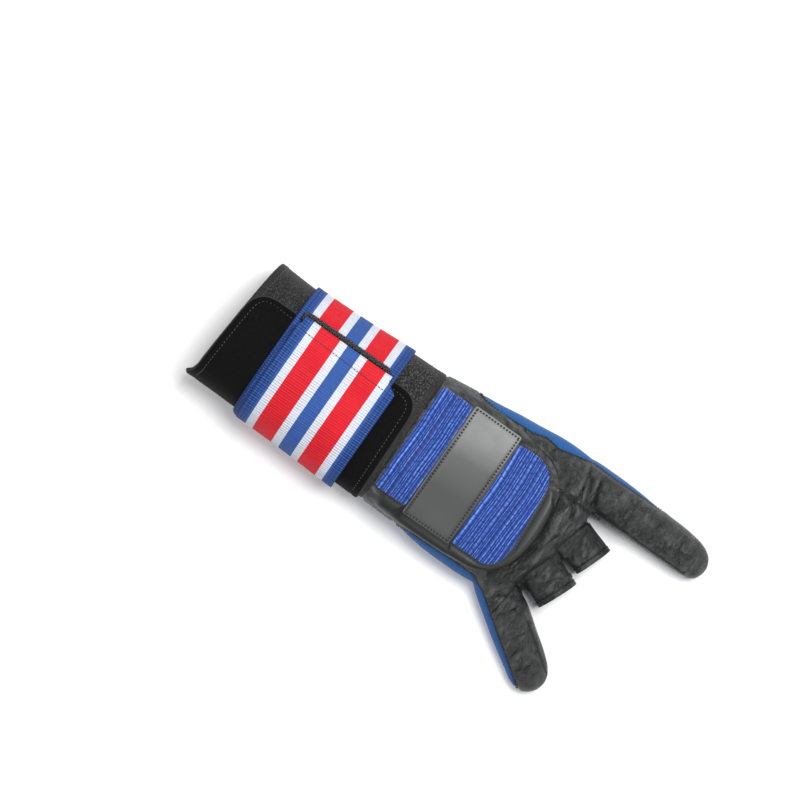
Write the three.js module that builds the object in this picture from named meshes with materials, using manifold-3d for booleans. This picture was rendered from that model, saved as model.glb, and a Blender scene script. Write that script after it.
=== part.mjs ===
// Right-hand bowling glove with a stiff wrist cuff, seen from the back of the hand and lying on
// its palm. Millimetres, Z up. X runs along the hand to the fingertips, Y runs to the thumb side.
// The origin is on the flat underside of the palm, at the wrist.

import * as THREE from "three";
import { mergeVertices } from "three/addons/utils/BufferGeometryUtils.js";
import Module from "manifold-3d";

const wasm = await Module();
wasm.setup();

// Driving sizes of the cuff and hand
const CUFF_LENGTH = 118;
const CUFF_WIDTH = 84;
const CUFF_HEIGHT = 58;
const CUFF_WALL = 3;
const CUFF_SLANT = 6.3;
const CUFF_SETBACK = 10;
const NECK_LENGTH = 14;
const HAND_LENGTH = 106;
const HAND_WIDTH = 96;
const HAND_HEIGHT = 48;
const GLOVE_WALL = 1.6;
const BACK_DROP = 12;

// Driving sizes of the fingers
const INDEX_LENGTH = 78;
const INDEX_WIDTH = 27;
const INDEX_HEIGHT = 27;
const LITTLE_LENGTH = 45;
const LITTLE_WIDTH = 26;
const LITTLE_HEIGHT = 24;
const MIDDLE_LENGTH = 20;
const MIDDLE_WIDTH = 23.7;
const RING_LENGTH = 21.5;
const RING_WIDTH = 25;
const SLEEVE_HEIGHT = 25;
const LITTLE_SPREAD = 35;
const MIDDLE_SPREAD = 17;
const RING_SPREAD = 20;

// Driving sizes of what is sewn on
const FLAP_THICKNESS = 2;
const FLAP_EDGE = 19;
const FLAP_CORNER = 13;
const FLAP_LOW_EDGE = 16;
const FLAP_SETBACK = 0.5;
const FLAP_LEAN = 3;
const FLAP_TAIL = 4;
const STRAP_WIDTH = 62;
const STRAP_START = 25;
const STRAP_THICKNESS = 1.5;
const STRAP_FAN = 6;
const STRAP_CLIMB = 6;
const OVER_SHIFT = 1.5;
const OVER_LOW_EDGE = 18;
const WIRE_DIAMETER = 2.4;
const RING_SPAN = 58.6;
const RING_REACH = 6.8;
const RING_EDGE = 23;
const RING_TILT = 0.4;
const THUMB_HOLE_LENGTH = 36;
const THUMB_HOLE_HEIGHT = 21;
const THUMB_HOLE_PLACE = 24;
const PAD_THICKNESS = 3;
const BAND_THICKNESS = 1.7;
const RIB_HEIGHT = 0.7;
const RIB_PITCH = 1.95;
const LABEL_THICKNESS = 1.4;
const GAP = 0.3;

// How round the sections are, and how finely they are faceted
const ROUNDNESS = 2.35;
const BELLY = 0.42;
const UNDERSIDE_FLATNESS = 1.08;
const HAND_SIDES = 28;
const FINGER_SIDES = 16;
const WIRE_SIDES = 8;
const THUMB_HOLE_SIDES = 20;
const FOLD_SIDES = 12;
const CLEAR = 200;

// Sections of the cuff: along it from the wrist, and its edges, underside and top
const CUFF_ROWS = [
  { along: 0.0, low: -0.551, high: 0.467, top: 0.845 },
  { along: 0.136, low: -0.545, high: 0.464, top: 0.871 },
  { along: 0.441, low: -0.526, high: 0.443, top: 0.94 },
  { along: 0.746, low: -0.517, high: 0.438, top: 1.0 },
  { along: 0.898, low: -0.512, high: 0.449, top: 1.022 },
  { along: 1.09, low: -0.512, high: 0.462, top: 1.04 },
];

// Sections of the hand, with the fold behind the knuckles
const HAND_ROWS = [
  { along: -0.052, low: -0.487, high: 0.413, base: 0, top: 1.012 },
  { along: 0.151, low: -0.495, high: 0.441, base: 0, top: 0.958 },
  { along: 0.321, low: -0.52, high: 0.464, base: 0, top: 0.908 },
  { along: 0.491, low: -0.526, high: 0.483, base: 0, top: 0.854 },
  { along: 0.66, low: -0.518, high: 0.503, base: 0, top: 0.804 },
  { fold: true, along: 0.755, low: -0.495, high: 0.503, base: 0, top: 0.771 },
  { along: 0.792, low: -0.474, high: 0.501, base: 0, top: 0.75 },
  { fold: true, along: 0.83, low: -0.438, high: 0.495, base: 0, top: 0.7 },
  { fold: true, along: 0.868, low: -0.391, high: 0.48, base: 0, top: 0.708 },
  { along: 0.925, low: -0.271, high: 0.44, base: 0, top: 0.646 },
  { along: 0.981, low: -0.125, high: 0.24, base: 0, top: 0.562 },
  { along: 1.004, low: -0.115, high: -0.052, base: 0.062, top: 0.5 },
];

// Sections of the index finger, with the folds at its root and the creases at its joints
const INDEX_ROWS = [
  { along: -0.26, low: -0.4, high: 0.38, base: 0, top: 1.1 },
  { fold: true, along: -0.155, low: -0.49, high: 0.48, base: 0, top: 1.21 },
  { fold: true, along: -0.115, low: -0.49, high: 0.5, base: 0, top: 1.13 },
  { fold: true, along: -0.07, low: -0.495, high: 0.5, base: 0, top: 1.19 },
  { fold: true, along: -0.025, low: -0.5, high: 0.5, base: 0, top: 1.08 },
  { along: 0.025, low: -0.5, high: 0.5, base: 0, top: 1.1 },
  { along: 0.2, low: -0.502, high: 0.49, base: 0, top: 0.97 },
  { fold: true, along: 0.26, low: -0.495, high: 0.475, base: 0, top: 0.93 },
  { along: 0.32, low: -0.495, high: 0.47, base: 0, top: 0.94 },
  { fold: true, along: 0.54, low: -0.49, high: 0.425, base: 0, top: 0.865 },
  { along: 0.62, low: -0.487, high: 0.412, base: 0, top: 0.87 },
  { along: 0.77, low: -0.485, high: 0.378, base: 0, top: 0.8 },
  { along: 0.85, low: -0.478, high: 0.34, base: 0.04, top: 0.71 },
  { fold: true, along: 0.925, low: -0.43, high: 0.255, base: 0.1, top: 0.6 },
  { along: 0.975, low: -0.32, high: 0.13, base: 0.17, top: 0.48 },
  { along: 0.997, low: -0.18, high: 0.0, base: 0.24, top: 0.36 },
];

// Sections of the little finger
const LITTLE_ROWS = [
  { along: -0.76, low: -0.42, high: 0.38, base: 0, top: 1.1 },
  { fold: true, along: -0.45, low: -0.49, high: 0.47, base: 0, top: 1.1 },
  { fold: true, along: -0.33, low: -0.5, high: 0.49, base: 0, top: 1.0 },
  { fold: true, along: -0.2, low: -0.5, high: 0.5, base: 0, top: 1.04 },
  { along: 0.02, low: -0.5, high: 0.5, base: 0, top: 0.95 },
  { along: 0.3, low: -0.49, high: 0.49, base: 0, top: 0.87 },
  { fold: true, along: 0.38, low: -0.47, high: 0.48, base: 0, top: 0.84 },
  { along: 0.6, low: -0.46, high: 0.48, base: 0, top: 0.79 },
  { along: 0.78, low: -0.44, high: 0.44, base: 0.04, top: 0.7 },
  { fold: true, along: 0.9, low: -0.36, high: 0.35, base: 0.1, top: 0.58 },
  { along: 0.97, low: -0.23, high: 0.22, base: 0.17, top: 0.46 },
  { along: 1.0, low: -0.09, high: 0.09, base: 0.24, top: 0.35 },
];

// Sections of the two open finger sleeves
const MIDDLE_ROWS = [
  { along: -0.85, low: -0.46, high: 0.5, base: 0.04, top: 1.16 },
  { along: -0.1, low: -0.51, high: 0.51, base: 0.04, top: 1.12 },
  { along: 0.3, low: -0.5, high: 0.5, base: 0.04, top: 1.04 },
  { along: 1.0, low: -0.5, high: 0.5, base: 0.05, top: 0.96 },
];
const RING_ROWS = [
  { along: -0.85, low: -0.5, high: 0.55, base: 0.04, top: 1.14 },
  { along: -0.1, low: -0.57, high: 0.57, base: 0.04, top: 1.1 },
  { along: 0.3, low: -0.535, high: 0.535, base: 0.04, top: 1.02 },
  { along: 1.0, low: -0.5, high: 0.5, base: 0.05, top: 0.93 },
];

// Plan of what lies on the back of the hand: shares of the hand's length and width
const PAD_PLAN = [
  { x: 0.151, y: 0.409 },
  { x: 0.377, y: 0.404 },
  { x: 0.448, y: 0.388 },
  { x: 0.491, y: 0.365 },
  { x: 0.604, y: 0.358 },
  { x: 0.717, y: 0.312 },
  { x: 0.774, y: 0.229 },
  { x: 0.821, y: 0.104 },
  { x: 0.835, y: -0.052 },
  { x: 0.821, y: -0.188 },
  { x: 0.774, y: -0.302 },
  { x: 0.708, y: -0.396 },
  { x: 0.623, y: -0.453 },
  { x: 0.453, y: -0.469 },
  { x: 0.189, y: -0.474 },
];
const PAD_START = { low: -0.465, high: 0.398 };
const WRIST_BAND_PLAN = [
  { x: -0.047, y: -0.365 },
  { x: 0.132, y: -0.365 },
  { x: 0.132, y: 0.333 },
  { x: -0.047, y: 0.333 },
];
const LABEL_PLAN = [
  { x: 0.142, y: -0.406 },
  { x: 0.443, y: -0.406 },
  { x: 0.443, y: 0.354 },
  { x: 0.142, y: 0.354 },
];
const KNUCKLE_BAND_PLAN = [
  { x: 0.453, y: -0.385 },
  { x: 0.655, y: -0.385 },
  { x: 0.696, y: -0.361 },
  { x: 0.735, y: -0.284 },
  { x: 0.703, y: 0.221 },
  { x: 0.672, y: 0.27 },
  { x: 0.581, y: 0.32 },
  { x: 0.453, y: 0.312 },
];

// Where the leather of the back gives way to the stretch fabric: shares as above
const LITTLE_SIDE_BORDER = [
  { x: 0.094, y: -0.7 },
  { x: 0.132, y: -0.492 },
  { x: 0.283, y: -0.481 },
  { x: 0.472, y: -0.474 },
  { x: 0.651, y: -0.477 },
];
const THUMB_SIDE_BORDER = [
  { x: 0.84, y: 0.48 },
  { x: 0.642, y: 0.433 },
  { x: 0.557, y: 0.447 },
  { x: 0.472, y: 0.421 },
  { x: 0.368, y: 0.417 },
  { x: 0.274, y: 0.409 },
  { x: 0.17, y: 0.417 },
  { x: 0.123, y: 0.432 },
  { x: 0.094, y: 0.7 },
];

// The same border on two fingers: shares along and across each finger
const LITTLE_FINGER_BORDER = [
  { along: -0.5, across: -0.36 },
  { along: 0.88, across: -0.36 },
  { along: 1, across: -1 },
  { along: 2, across: -1 },
];
const INDEX_FINGER_BORDER = [
  { along: 0.52, across: 1 },
  { along: 0.469, across: 0.415 },
  { along: 0.05, across: 0.4 },
];

// Plans of the leather panels: shares of their finger, or of the hand
const MIDDLE_SLEEVE_PLAN = [
  { along: -0.02, across: -0.52 },
  { along: 2, across: -0.52 },
  { along: 2, across: 0.8 },
  { along: -0.02, across: 0.56 },
];
const RING_SLEEVE_PLAN = [
  { along: 0.02, across: -0.8 },
  { along: 2, across: -0.8 },
  { along: 2, across: 0.53 },
  { along: 0.25, across: 0.575 },
  { along: 0.02, across: 0.56 },
];
const LITTLE_PANEL_PLAN = [
  { along: -0.42, across: 0.62 },
  { along: -0.78, across: -1 },
  { along: 3, across: -1 },
  { along: 3, across: 0.62 },
];
const INDEX_PANEL_PLAN = [
  { x: 0.7, y: 0.229 },
  { x: 4, y: 0.229 },
  { x: 4, y: 2 },
  { x: 0.44, y: 2 },
  { x: 0.44, y: 0.39 },
  { x: 0.62, y: 0.34 },
];

// Where each finger leaves the hand: shares of the hand's length and width
const ROOTS = {
  index: { x: 0.943, y: 0.365 },
  little: { x: 0.943, y: -0.568 },
  middle: { x: 0.972, y: 0.055 },
  ring: { x: 0.908, y: -0.215 },
};

// A limb is a row of closed sections along a straight axis in plan
function makeLimb({ x, y, angle = 0, length, width, height, sides, table }) {
  const turn = THREE.MathUtils.degToRad(angle);
  const rows = table.map((row) => ({
    fold: row.fold ?? false,
    u: row.along * length,
    low: row.low * width,
    high: row.high * width,
    base: (row.base ?? 0) * height,
    top: row.top * height,
  }));
  return { x, y, length, width, cos: Math.cos(turn), sin: Math.sin(turn), sides, rows };
}

function placed(limb, u, v) {
  const x = limb.x + u * limb.cos - v * limb.sin;
  const y = limb.y + u * limb.sin + v * limb.cos;
  return [x, y];
}

function bulge(value) {
  return Math.sign(value) * Math.abs(value) ** (2 / ROUNDNESS);
}

// The corners of one section, flat underneath, before any wall or layer is added
function bareSection(row, sides) {
  const middle = (row.low + row.high) / 2;
  const half = (row.high - row.low) / 2;
  const belly = row.base + BELLY * (row.top - row.base);
  const down = (belly - row.base) * UNDERSIDE_FLATNESS;
  const points = [];
  for (let k = 0; k < sides; k++) {
    const angle = (2 * Math.PI * k) / sides;
    const v = middle + half * bulge(Math.cos(angle));
    const rise = Math.sin(angle) > 0 ? row.top - belly : down;
    const z = belly + rise * bulge(Math.sin(angle));
    points.push([v, Math.max(z, row.base)]);
  }
  return points;
}

// The same section moved out by lift, which is a distance or a function of the corner
function liftedSection(row, sides, lift) {
  const bare = bareSection(row, sides);
  return bare.map(([v, z], k) => {
    const before = bare[(k + sides - 1) % sides];
    const after = bare[(k + 1) % sides];
    const normal = new THREE.Vector2(after[1] - before[1], before[0] - after[0]).normalize();
    const amount = typeof lift === "function" ? lift(v, z) : lift;
    return [v + amount * normal.x, z + amount * normal.y];
  });
}

function rowAt(rows, u) {
  const last = rows.length - 1;
  let i = 0;
  while (i < last - 1 && rows[i + 1].u < u) {
    i++;
  }
  const t = (u - rows[i].u) / (rows[i + 1].u - rows[i].u);
  const mix = (key) => THREE.MathUtils.lerp(rows[i][key], rows[i + 1][key], t);
  return { u, low: mix("low"), high: mix("high"), base: mix("base"), top: mix("top") };
}

function solidFrom(positions, triangles) {
  const mesh = new wasm.Mesh({
    numProp: 3,
    vertProperties: new Float32Array(positions),
    triVerts: new Uint32Array(triangles),
  });
  return new wasm.Manifold(mesh);
}

// Joins rings of points into one closed skin with a fan over each end
function skin(rings) {
  const count = rings[0].length;
  const positions = rings.flat(2);
  const triangles = [];
  for (let i = 0; i < rings.length - 1; i++) {
    for (let k = 0; k < count; k++) {
      const next = (k + 1) % count;
      const a = i * count + k;
      const b = i * count + next;
      triangles.push(a, b, a + count);
      triangles.push(b, b + count, a + count);
    }
  }
  [0, rings.length - 1].forEach((index, end) => {
    const middle = [0, 1, 2].map((axis) => rings[index].reduce((sum, p) => sum + p[axis], 0) / count);
    const centre = positions.length / 3;
    positions.push(...middle);
    for (let k = 0; k < count; k++) {
      const a = index * count + k;
      const b = index * count + ((k + 1) % count);
      triangles.push(centre, end ? a : b, end ? b : a);
    }
  });
  return solidFrom(positions, triangles);
}

function ringOf(limb, row, lift) {
  return liftedSection(row, limb.sides, lift).map(([v, z]) => [...placed(limb, row.u, v), z]);
}

function loft(limb, rows, lift) {
  return skin(rows.map((row) => ringOf(limb, row, lift)));
}

function solidOf(geometry) {
  const bare = geometry.clone();
  bare.deleteAttribute("normal");
  bare.deleteAttribute("uv");
  const merged = mergeVertices(bare, 1e-4);
  return solidFrom(merged.attributes.position.array, merged.index.array);
}

// The largest body of a solid, without the crumbs that a cut leaves at its corners
function mainBody(solid) {
  return solid.decompose().reduce((best, one) => (one.volume() > best.volume() ? one : best));
}

// An upright block over a plan of [x, y] corners, which run anticlockwise
function block(plan, bottom, top) {
  const shape = new THREE.Shape(plan.map(([x, y]) => new THREE.Vector2(x, y)));
  const geometry = new THREE.ExtrudeGeometry(shape, { depth: top - bottom, bevelEnabled: false });
  geometry.translate(0, 0, bottom);
  return solidOf(geometry);
}

// A plan moved out by a distance along the bisector of each corner
function widened(plan, distance) {
  const count = plan.length;
  return plan.map((point, i) => {
    const here = new THREE.Vector2(...point);
    const before = here.clone().sub(new THREE.Vector2(...plan[(i + count - 1) % count])).normalize();
    const after = new THREE.Vector2(...plan[(i + 1) % count]).sub(here).normalize();
    const bisector = new THREE.Vector2(before.y + after.y, -before.x - after.x).normalize();
    const stretch = distance / (bisector.x * after.y - bisector.y * after.x);
    return [here.x + stretch * bisector.x, here.y + stretch * bisector.y];
  });
}

// The corner between two straight sides, turned into an arc of a few chords
function roundedCorner(before, corner, after, radius) {
  const here = new THREE.Vector2(...corner);
  const back = new THREE.Vector2(...before).sub(here).normalize();
  const ahead = new THREE.Vector2(...after).sub(here).normalize();
  const start = here.clone().addScaledVector(back, radius);
  const end = here.clone().addScaledVector(ahead, radius);
  const curve = new THREE.QuadraticBezierCurve(start, here, end);
  return curve.getPoints(4).map((p) => [p.x, p.y]);
}

function handPlan(table) {
  return table.map((point) => [point.x * HAND_LENGTH, point.y * HAND_WIDTH]);
}

// The limbs
const cuffLimb = makeLimb({
  x: -CUFF_SETBACK,
  y: 0,
  length: -CUFF_LENGTH,
  width: CUFF_WIDTH,
  height: CUFF_HEIGHT,
  sides: HAND_SIDES,
  table: CUFF_ROWS,
});
cuffLimb.rows.forEach((row) => {
  row.base = GAP + STRAP_THICKNESS;
});
cuffLimb.rows.reverse();

const handLimb = makeLimb({
  x: 0,
  y: 0,
  length: HAND_LENGTH,
  width: HAND_WIDTH,
  height: HAND_HEIGHT,
  sides: HAND_SIDES,
  table: HAND_ROWS,
});

function makeFinger(root, angle, length, width, height, table) {
  const [x, y] = [root.x * HAND_LENGTH, root.y * HAND_WIDTH];
  return makeLimb({ x, y, angle, length, width, height, sides: FINGER_SIDES, table });
}

const indexLimb = makeFinger(ROOTS.index, 0, INDEX_LENGTH, INDEX_WIDTH, INDEX_HEIGHT, INDEX_ROWS);
const littleLimb = makeFinger(
  ROOTS.little,
  -LITTLE_SPREAD,
  LITTLE_LENGTH,
  LITTLE_WIDTH,
  LITTLE_HEIGHT,
  LITTLE_ROWS,
);
const middleLimb = makeFinger(
  ROOTS.middle,
  -MIDDLE_SPREAD,
  MIDDLE_LENGTH,
  MIDDLE_WIDTH,
  SLEEVE_HEIGHT,
  MIDDLE_ROWS,
);
const ringLimb = makeFinger(ROOTS.ring, -RING_SPREAD, RING_LENGTH, RING_WIDTH, SLEEVE_HEIGHT, RING_ROWS);

// The hand's skin starts as a neck inside the cuff and steps out to full size past its edge
const CUFF_EDGE = -CUFF_SETBACK;
const HAND_START = CUFF_EDGE + 2 * GAP;
const startRow = { ...rowAt(cuffLimb.rows, 0) };

function cuffRowAt(x) {
  return { ...rowAt(cuffLimb.rows, x - CUFF_EDGE), u: x };
}

function handSkin(lift, inset) {
  const neckLift = lift - CUFF_WALL - GAP;
  const neckEnd = CUFF_EDGE + GAP + inset;
  const neckStart = CUFF_EDGE - NECK_LENGTH - 4 * inset;
  const rings = [neckStart, neckEnd].map((x) => ringOf(handLimb, cuffRowAt(x), neckLift));
  rings.push(ringOf(handLimb, { ...startRow, u: HAND_START + inset }, lift));
  innerRows(handLimb.rows, inset).forEach((row) => rings.push(ringOf(handLimb, row, lift)));
  return skin(rings);
}

// Sections drawn in from the far end of a limb, so that its wall has its thickness there too,
// without the folds, which show on the outside only
function innerRows(rows, inset) {
  const reach = rows[rows.length - 1].u;
  const kept = rows.filter((row) => !inset || !row.fold);
  return kept.map((row) => ({ ...row, u: row.u - (inset * Math.max(row.u, 0)) / reach }));
}

function lengthened(rows, extra) {
  const last = rows[rows.length - 1];
  return [...rows, { ...last, u: last.u + extra }];
}

function gloveBody(lift, inset) {
  const open = inset > 0 ? 4 * GLOVE_WALL : 0;
  const fingers = [indexLimb, littleLimb].map((limb) => loft(limb, innerRows(limb.rows, inset), lift));
  const sleeves = [middleLimb, ringLimb].map((limb) =>
    loft(limb, open ? lengthened(limb.rows, open) : limb.rows, lift),
  );
  return [...fingers, ...sleeves].reduce((body, limb) => body.add(limb), handSkin(lift, inset));
}

const bodyOuter = gloveBody(0, 0);
const bodyInner = gloveBody(-GLOVE_WALL, GLOVE_WALL);
const bodySwollen = gloveBody(GAP, 0);

// The thumb hole, an oval cut through the thumb side
const thumbGeometry = new THREE.CylinderGeometry(1, 1, HAND_WIDTH, THUMB_HOLE_SIDES);
thumbGeometry.scale(THUMB_HOLE_LENGTH / 2, 1, THUMB_HOLE_HEIGHT / 2);
thumbGeometry.translate(THUMB_HOLE_PLACE, HAND_WIDTH * 0.75, BACK_DROP + GLOVE_WALL);
const thumbHole = solidOf(thumbGeometry);
const shell = bodyOuter.subtract(bodyInner).subtract(thumbHole);

// Plans that divide the shell into its panels
function limbPlan(limb, table) {
  return table.map(({ along, across }) => placed(limb, along * limb.length, across * limb.width));
}

const littleSideBorder = handPlan(LITTLE_SIDE_BORDER);
const backPlan = [
  [-CLEAR, -CLEAR],
  [littleSideBorder[0][0], -CLEAR],
  ...littleSideBorder,
  ...limbPlan(littleLimb, LITTLE_FINGER_BORDER),
  [2 * CLEAR, -CLEAR / 4],
  [2 * CLEAR, CLEAR],
  ...limbPlan(indexLimb, INDEX_FINGER_BORDER),
  ...handPlan(THUMB_SIDE_BORDER),
  [-CLEAR, CLEAR],
];
const middlePlan = limbPlan(middleLimb, MIDDLE_SLEEVE_PLAN);
const ringPlan = limbPlan(ringLimb, RING_SLEEVE_PLAN);
const indexPlan = handPlan(INDEX_PANEL_PLAN);
const littlePlan = limbPlan(littleLimb, LITTLE_PANEL_PLAN);

const backCut = block(backPlan, BACK_DROP, CLEAR);
const backCutWide = block(widened(backPlan, GAP), BACK_DROP - GAP, CLEAR);
const cutFor = (plan) => block(plan, -CLEAR, CLEAR);
const wideCutFor = (plan) => block(widened(plan, GAP), -CLEAR, CLEAR);

const sleevesWide = wideCutFor(middlePlan).add(wideCutFor(ringPlan));
const middleSleeve = shell.intersect(cutFor(middlePlan));
const ringSleeve = shell.intersect(cutFor(ringPlan)).subtract(wideCutFor(middlePlan));
const leather = shell.intersect(backCut).subtract(sleevesWide);
const indexBack = leather.intersect(cutFor(indexPlan));
const littleBack = leather.intersect(cutFor(littlePlan));
const handBack = leather.subtract(wideCutFor(indexPlan)).subtract(wideCutFor(littlePlan));
const palmPanel = shell.subtract(backCutWide).subtract(sleevesWide);

// What is sewn on the back of the hand follows its surface
const padStart = HAND_START + GAP;

function backLayer(plan, thickness) {
  return handSkin(GAP + thickness, 0).intersect(block(plan, BACK_DROP, CLEAR)).subtract(bodySwollen);
}

const wristBandPlan = handPlan(WRIST_BAND_PLAN);
const labelPlan = handPlan(LABEL_PLAN);
const knuckleBandPlan = handPlan(KNUCKLE_BAND_PLAN);
const padPlan = [
  [padStart, PAD_START.low * HAND_WIDTH],
  ...handPlan(PAD_PLAN).reverse(),
  [padStart, PAD_START.high * HAND_WIDTH],
];
const windows = [wristBandPlan, labelPlan, knuckleBandPlan]
  .map((plan) => block(widened(plan, GAP), -CLEAR, CLEAR))
  .reduce((all, one) => all.add(one));
const paddedFrame = backLayer(padPlan, PAD_THICKNESS).subtract(windows);
const backLabel = backLayer(labelPlan, LABEL_THICKNESS);

// A ribbed band: its ribs run across the hand, so the lift changes along it
function ribbedBand(plan) {
  const xs = plan.map((point) => point[0]);
  const start = Math.min(...xs) - RIB_PITCH;
  const count = Math.round((Math.max(...xs) + RIB_PITCH - start) / RIB_PITCH);
  const rings = [];
  for (let i = 0; i <= 2 * count; i++) {
    const x = start + (i * RIB_PITCH) / 2;
    const row = x < handLimb.rows[0].u ? { ...handLimb.rows[0], u: x } : rowAt(handLimb.rows, x);
    const lift = GAP + BAND_THICKNESS + (i % 2 ? RIB_HEIGHT : 0);
    rings.push(ringOf(handLimb, row, lift));
  }
  return skin(rings).intersect(block(plan, BACK_DROP, CLEAR)).subtract(bodySwollen);
}

const wristElastic = ribbedBand(wristBandPlan);
const knuckleElastic = ribbedBand(knuckleBandPlan);

// The cuff: a tube whose far end slants, and is longest on the little-finger side
function cuffSkin(lift, from, to) {
  const inside = cuffLimb.rows.filter((row) => row.u > from - CUFF_EDGE && row.u < to - CUFF_EDGE);
  const rows = [cuffRowAt(from), ...inside.map((row) => ({ ...row, u: row.u + CUFF_EDGE })), cuffRowAt(to)];
  return skin(rows.map((row) => ringOf(handLimb, row, lift)));
}

const CUFF_FAR = CUFF_EDGE - CUFF_LENGTH;

function farEdgeAt(y) {
  return [CUFF_FAR + CUFF_SLANT * (0.5 + y / CUFF_WIDTH), y];
}

const cuffPlan = [farEdgeAt(-HAND_WIDTH), [CLEAR, -HAND_WIDTH], [CLEAR, HAND_WIDTH], farEdgeAt(HAND_WIDTH)];
const cuffOuter = cuffSkin(0, CUFF_FAR - CUFF_SLANT, CUFF_EDGE);
const cuffInner = cuffSkin(-CUFF_WALL, CUFF_FAR - 2 * CUFF_SLANT, CUFF_EDGE + CUFF_WALL);
const wristCuff = cuffOuter.intersect(block(cuffPlan, -CLEAR, CLEAR)).subtract(cuffInner);

// The closing flap lies over the cuff's back and comes round its little-finger side, where its
// far corner sticks out in a point
const flapNear = CUFF_EDGE - FLAP_SETBACK;
const flapEnds = {
  near: [flapNear - FLAP_LEAN, FLAP_EDGE],
  far: farEdgeAt(FLAP_EDGE),
};
const tailStart = farEdgeAt(-CUFF_WIDTH / 2 + FLAP_TAIL);
const tailTip = farEdgeAt(-CUFF_WIDTH / 2);
const flapPlan = [
  [tailTip[0] - FLAP_TAIL, -CUFF_WIDTH],
  [flapNear, -CUFF_WIDTH],
  ...roundedCorner([flapNear, -CUFF_WIDTH], flapEnds.near, flapEnds.far, FLAP_CORNER),
  ...roundedCorner(flapEnds.near, flapEnds.far, tailStart, FLAP_CORNER),
  tailStart,
  [tailTip[0] - FLAP_TAIL, tailTip[1]],
];

function cuffLayer(plan, low, high, floor) {
  const from = CUFF_FAR - CUFF_SLANT;
  const outer = cuffSkin(high, from, CUFF_EDGE);
  const inner = cuffSkin(low, from - CUFF_WALL, CUFF_EDGE + CUFF_WALL);
  return outer.subtract(inner).intersect(block(plan, floor, CLEAR));
}

const closingFlap = cuffLayer(flapPlan, GAP, GAP + FLAP_THICKNESS, FLAP_LOW_EDGE);

// The strap lies on the cuff, and climbs over the flap where that is
const overFlap = GAP + FLAP_THICKNESS;

function strapLift(above) {
  return (v, z) => {
    const onBack = z > CUFF_HEIGHT * BELLY;
    const pastEdge = onBack ? v - FLAP_EDGE : FLAP_LOW_EDGE - z;
    const beyond = onBack || v < 0 ? pastEdge - STRAP_CLIMB : STRAP_CLIMB;
    return above + overFlap * THREE.MathUtils.clamp(1 - beyond / STRAP_CLIMB, 0, 1);
  };
}

const strapNear = CUFF_EDGE - STRAP_START;
const strapFar = strapNear - STRAP_WIDTH;
const strapUnderPlan = [
  [strapFar - STRAP_FAN / 3, -CUFF_WIDTH],
  [strapNear + STRAP_FAN, -CUFF_WIDTH],
  [strapNear, CUFF_WIDTH],
  [strapFar, CUFF_WIDTH],
];
const wrapStrapUnder = cuffLayer(strapUnderPlan, strapLift(GAP), strapLift(GAP + STRAP_THICKNESS), -CLEAR);

// The wire ring: its near bar is held in the fold of the upper strap, its far bar shows
const wire = WIRE_DIAMETER / 2;
const webbing = STRAP_THICKNESS - GAP;
const underTop = overFlap + GAP + STRAP_THICKNESS;
const foldRadius = wire + GAP + webbing;
const farBarY = RING_EDGE - wire;
const nearBarY = RING_EDGE - RING_REACH + wire;
const ringMiddleX = strapNear - STRAP_WIDTH / 2 + OVER_SHIFT;

// The height of a lifted section's top over a place across it
function topAt(x, y, lift) {
  const points = liftedSection(cuffRowAt(x), HAND_SIDES, lift);
  const quarter = points.slice(0, HAND_SIDES / 2);
  const i = quarter.findIndex((point) => point[0] <= y);
  const [a, b] = [quarter[i - 1], quarter[i]];
  return THREE.MathUtils.mapLinear(y, a[0], b[0], a[1], b[1]);
}

const ringEnds = [-1, 1].map((side) => ringMiddleX + (side * (RING_SPAN - WIRE_DIAMETER)) / 2);
const barPoint = (x, y, lift) => new THREE.Vector3(x, y, topAt(x, y, lift));
const nearLift = underTop + GAP + foldRadius;
const farLift = underTop + GAP + wire + RING_TILT;
const nearBar = ringEnds.map((x) => barPoint(x, nearBarY, nearLift));
const farBar = ringEnds.map((x) => barPoint(x, farBarY, farLift));
const alongBar = nearBar[1].clone().sub(nearBar[0]).normalize();
const acrossBar = farBar[0].clone().sub(nearBar[0]);
acrossBar.addScaledVector(alongBar, -acrossBar.dot(alongBar));
const barSpacing = acrossBar.length();
acrossBar.normalize();
const ringNormal = alongBar.clone().cross(acrossBar);
const ringFrame = new THREE.Matrix4().makeBasis(alongBar, acrossBar, ringNormal);
ringFrame.setPosition(nearBar[0].clone().add(nearBar[1]).multiplyScalar(0.5));

// A closed tube round a rectangle with rounded corners, in the ring's own plane
function wireRing(length, reach, corner, radius) {
  const corners = [
    [length / 2 - corner, corner, -90],
    [length / 2 - corner, reach - corner, 0],
    [corner - length / 2, reach - corner, 90],
    [corner - length / 2, corner, 180],
  ];
  const route = corners.flatMap(([x, y, start]) =>
    [0, 30, 60, 90].map((step) => {
      const angle = THREE.MathUtils.degToRad(start + step);
      return { x: x + corner * Math.cos(angle), y: y + corner * Math.sin(angle), angle };
    }),
  );
  const positions = [];
  const triangles = [];
  route.forEach(({ x, y, angle }, i) => {
    for (let k = 0; k < WIRE_SIDES; k++) {
      const round = (2 * Math.PI * k) / WIRE_SIDES;
      const out = radius * Math.cos(round);
      positions.push(x + out * Math.cos(angle), y + out * Math.sin(angle), radius * Math.sin(round));
      const a = i * WIRE_SIDES + k;
      const b = i * WIRE_SIDES + ((k + 1) % WIRE_SIDES);
      const next = ((i + 1) % route.length) * WIRE_SIDES - i * WIRE_SIDES;
      triangles.push(a, a + next, b);
      triangles.push(b, a + next, b + next);
    }
  });
  return solidFrom(positions, triangles);
}

const ringLength = RING_SPAN - WIRE_DIAMETER;
const ringCorner = wire + GAP;
const strapRing = wireRing(ringLength, barSpacing, ringCorner, wire).transform(ringFrame.elements);

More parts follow.
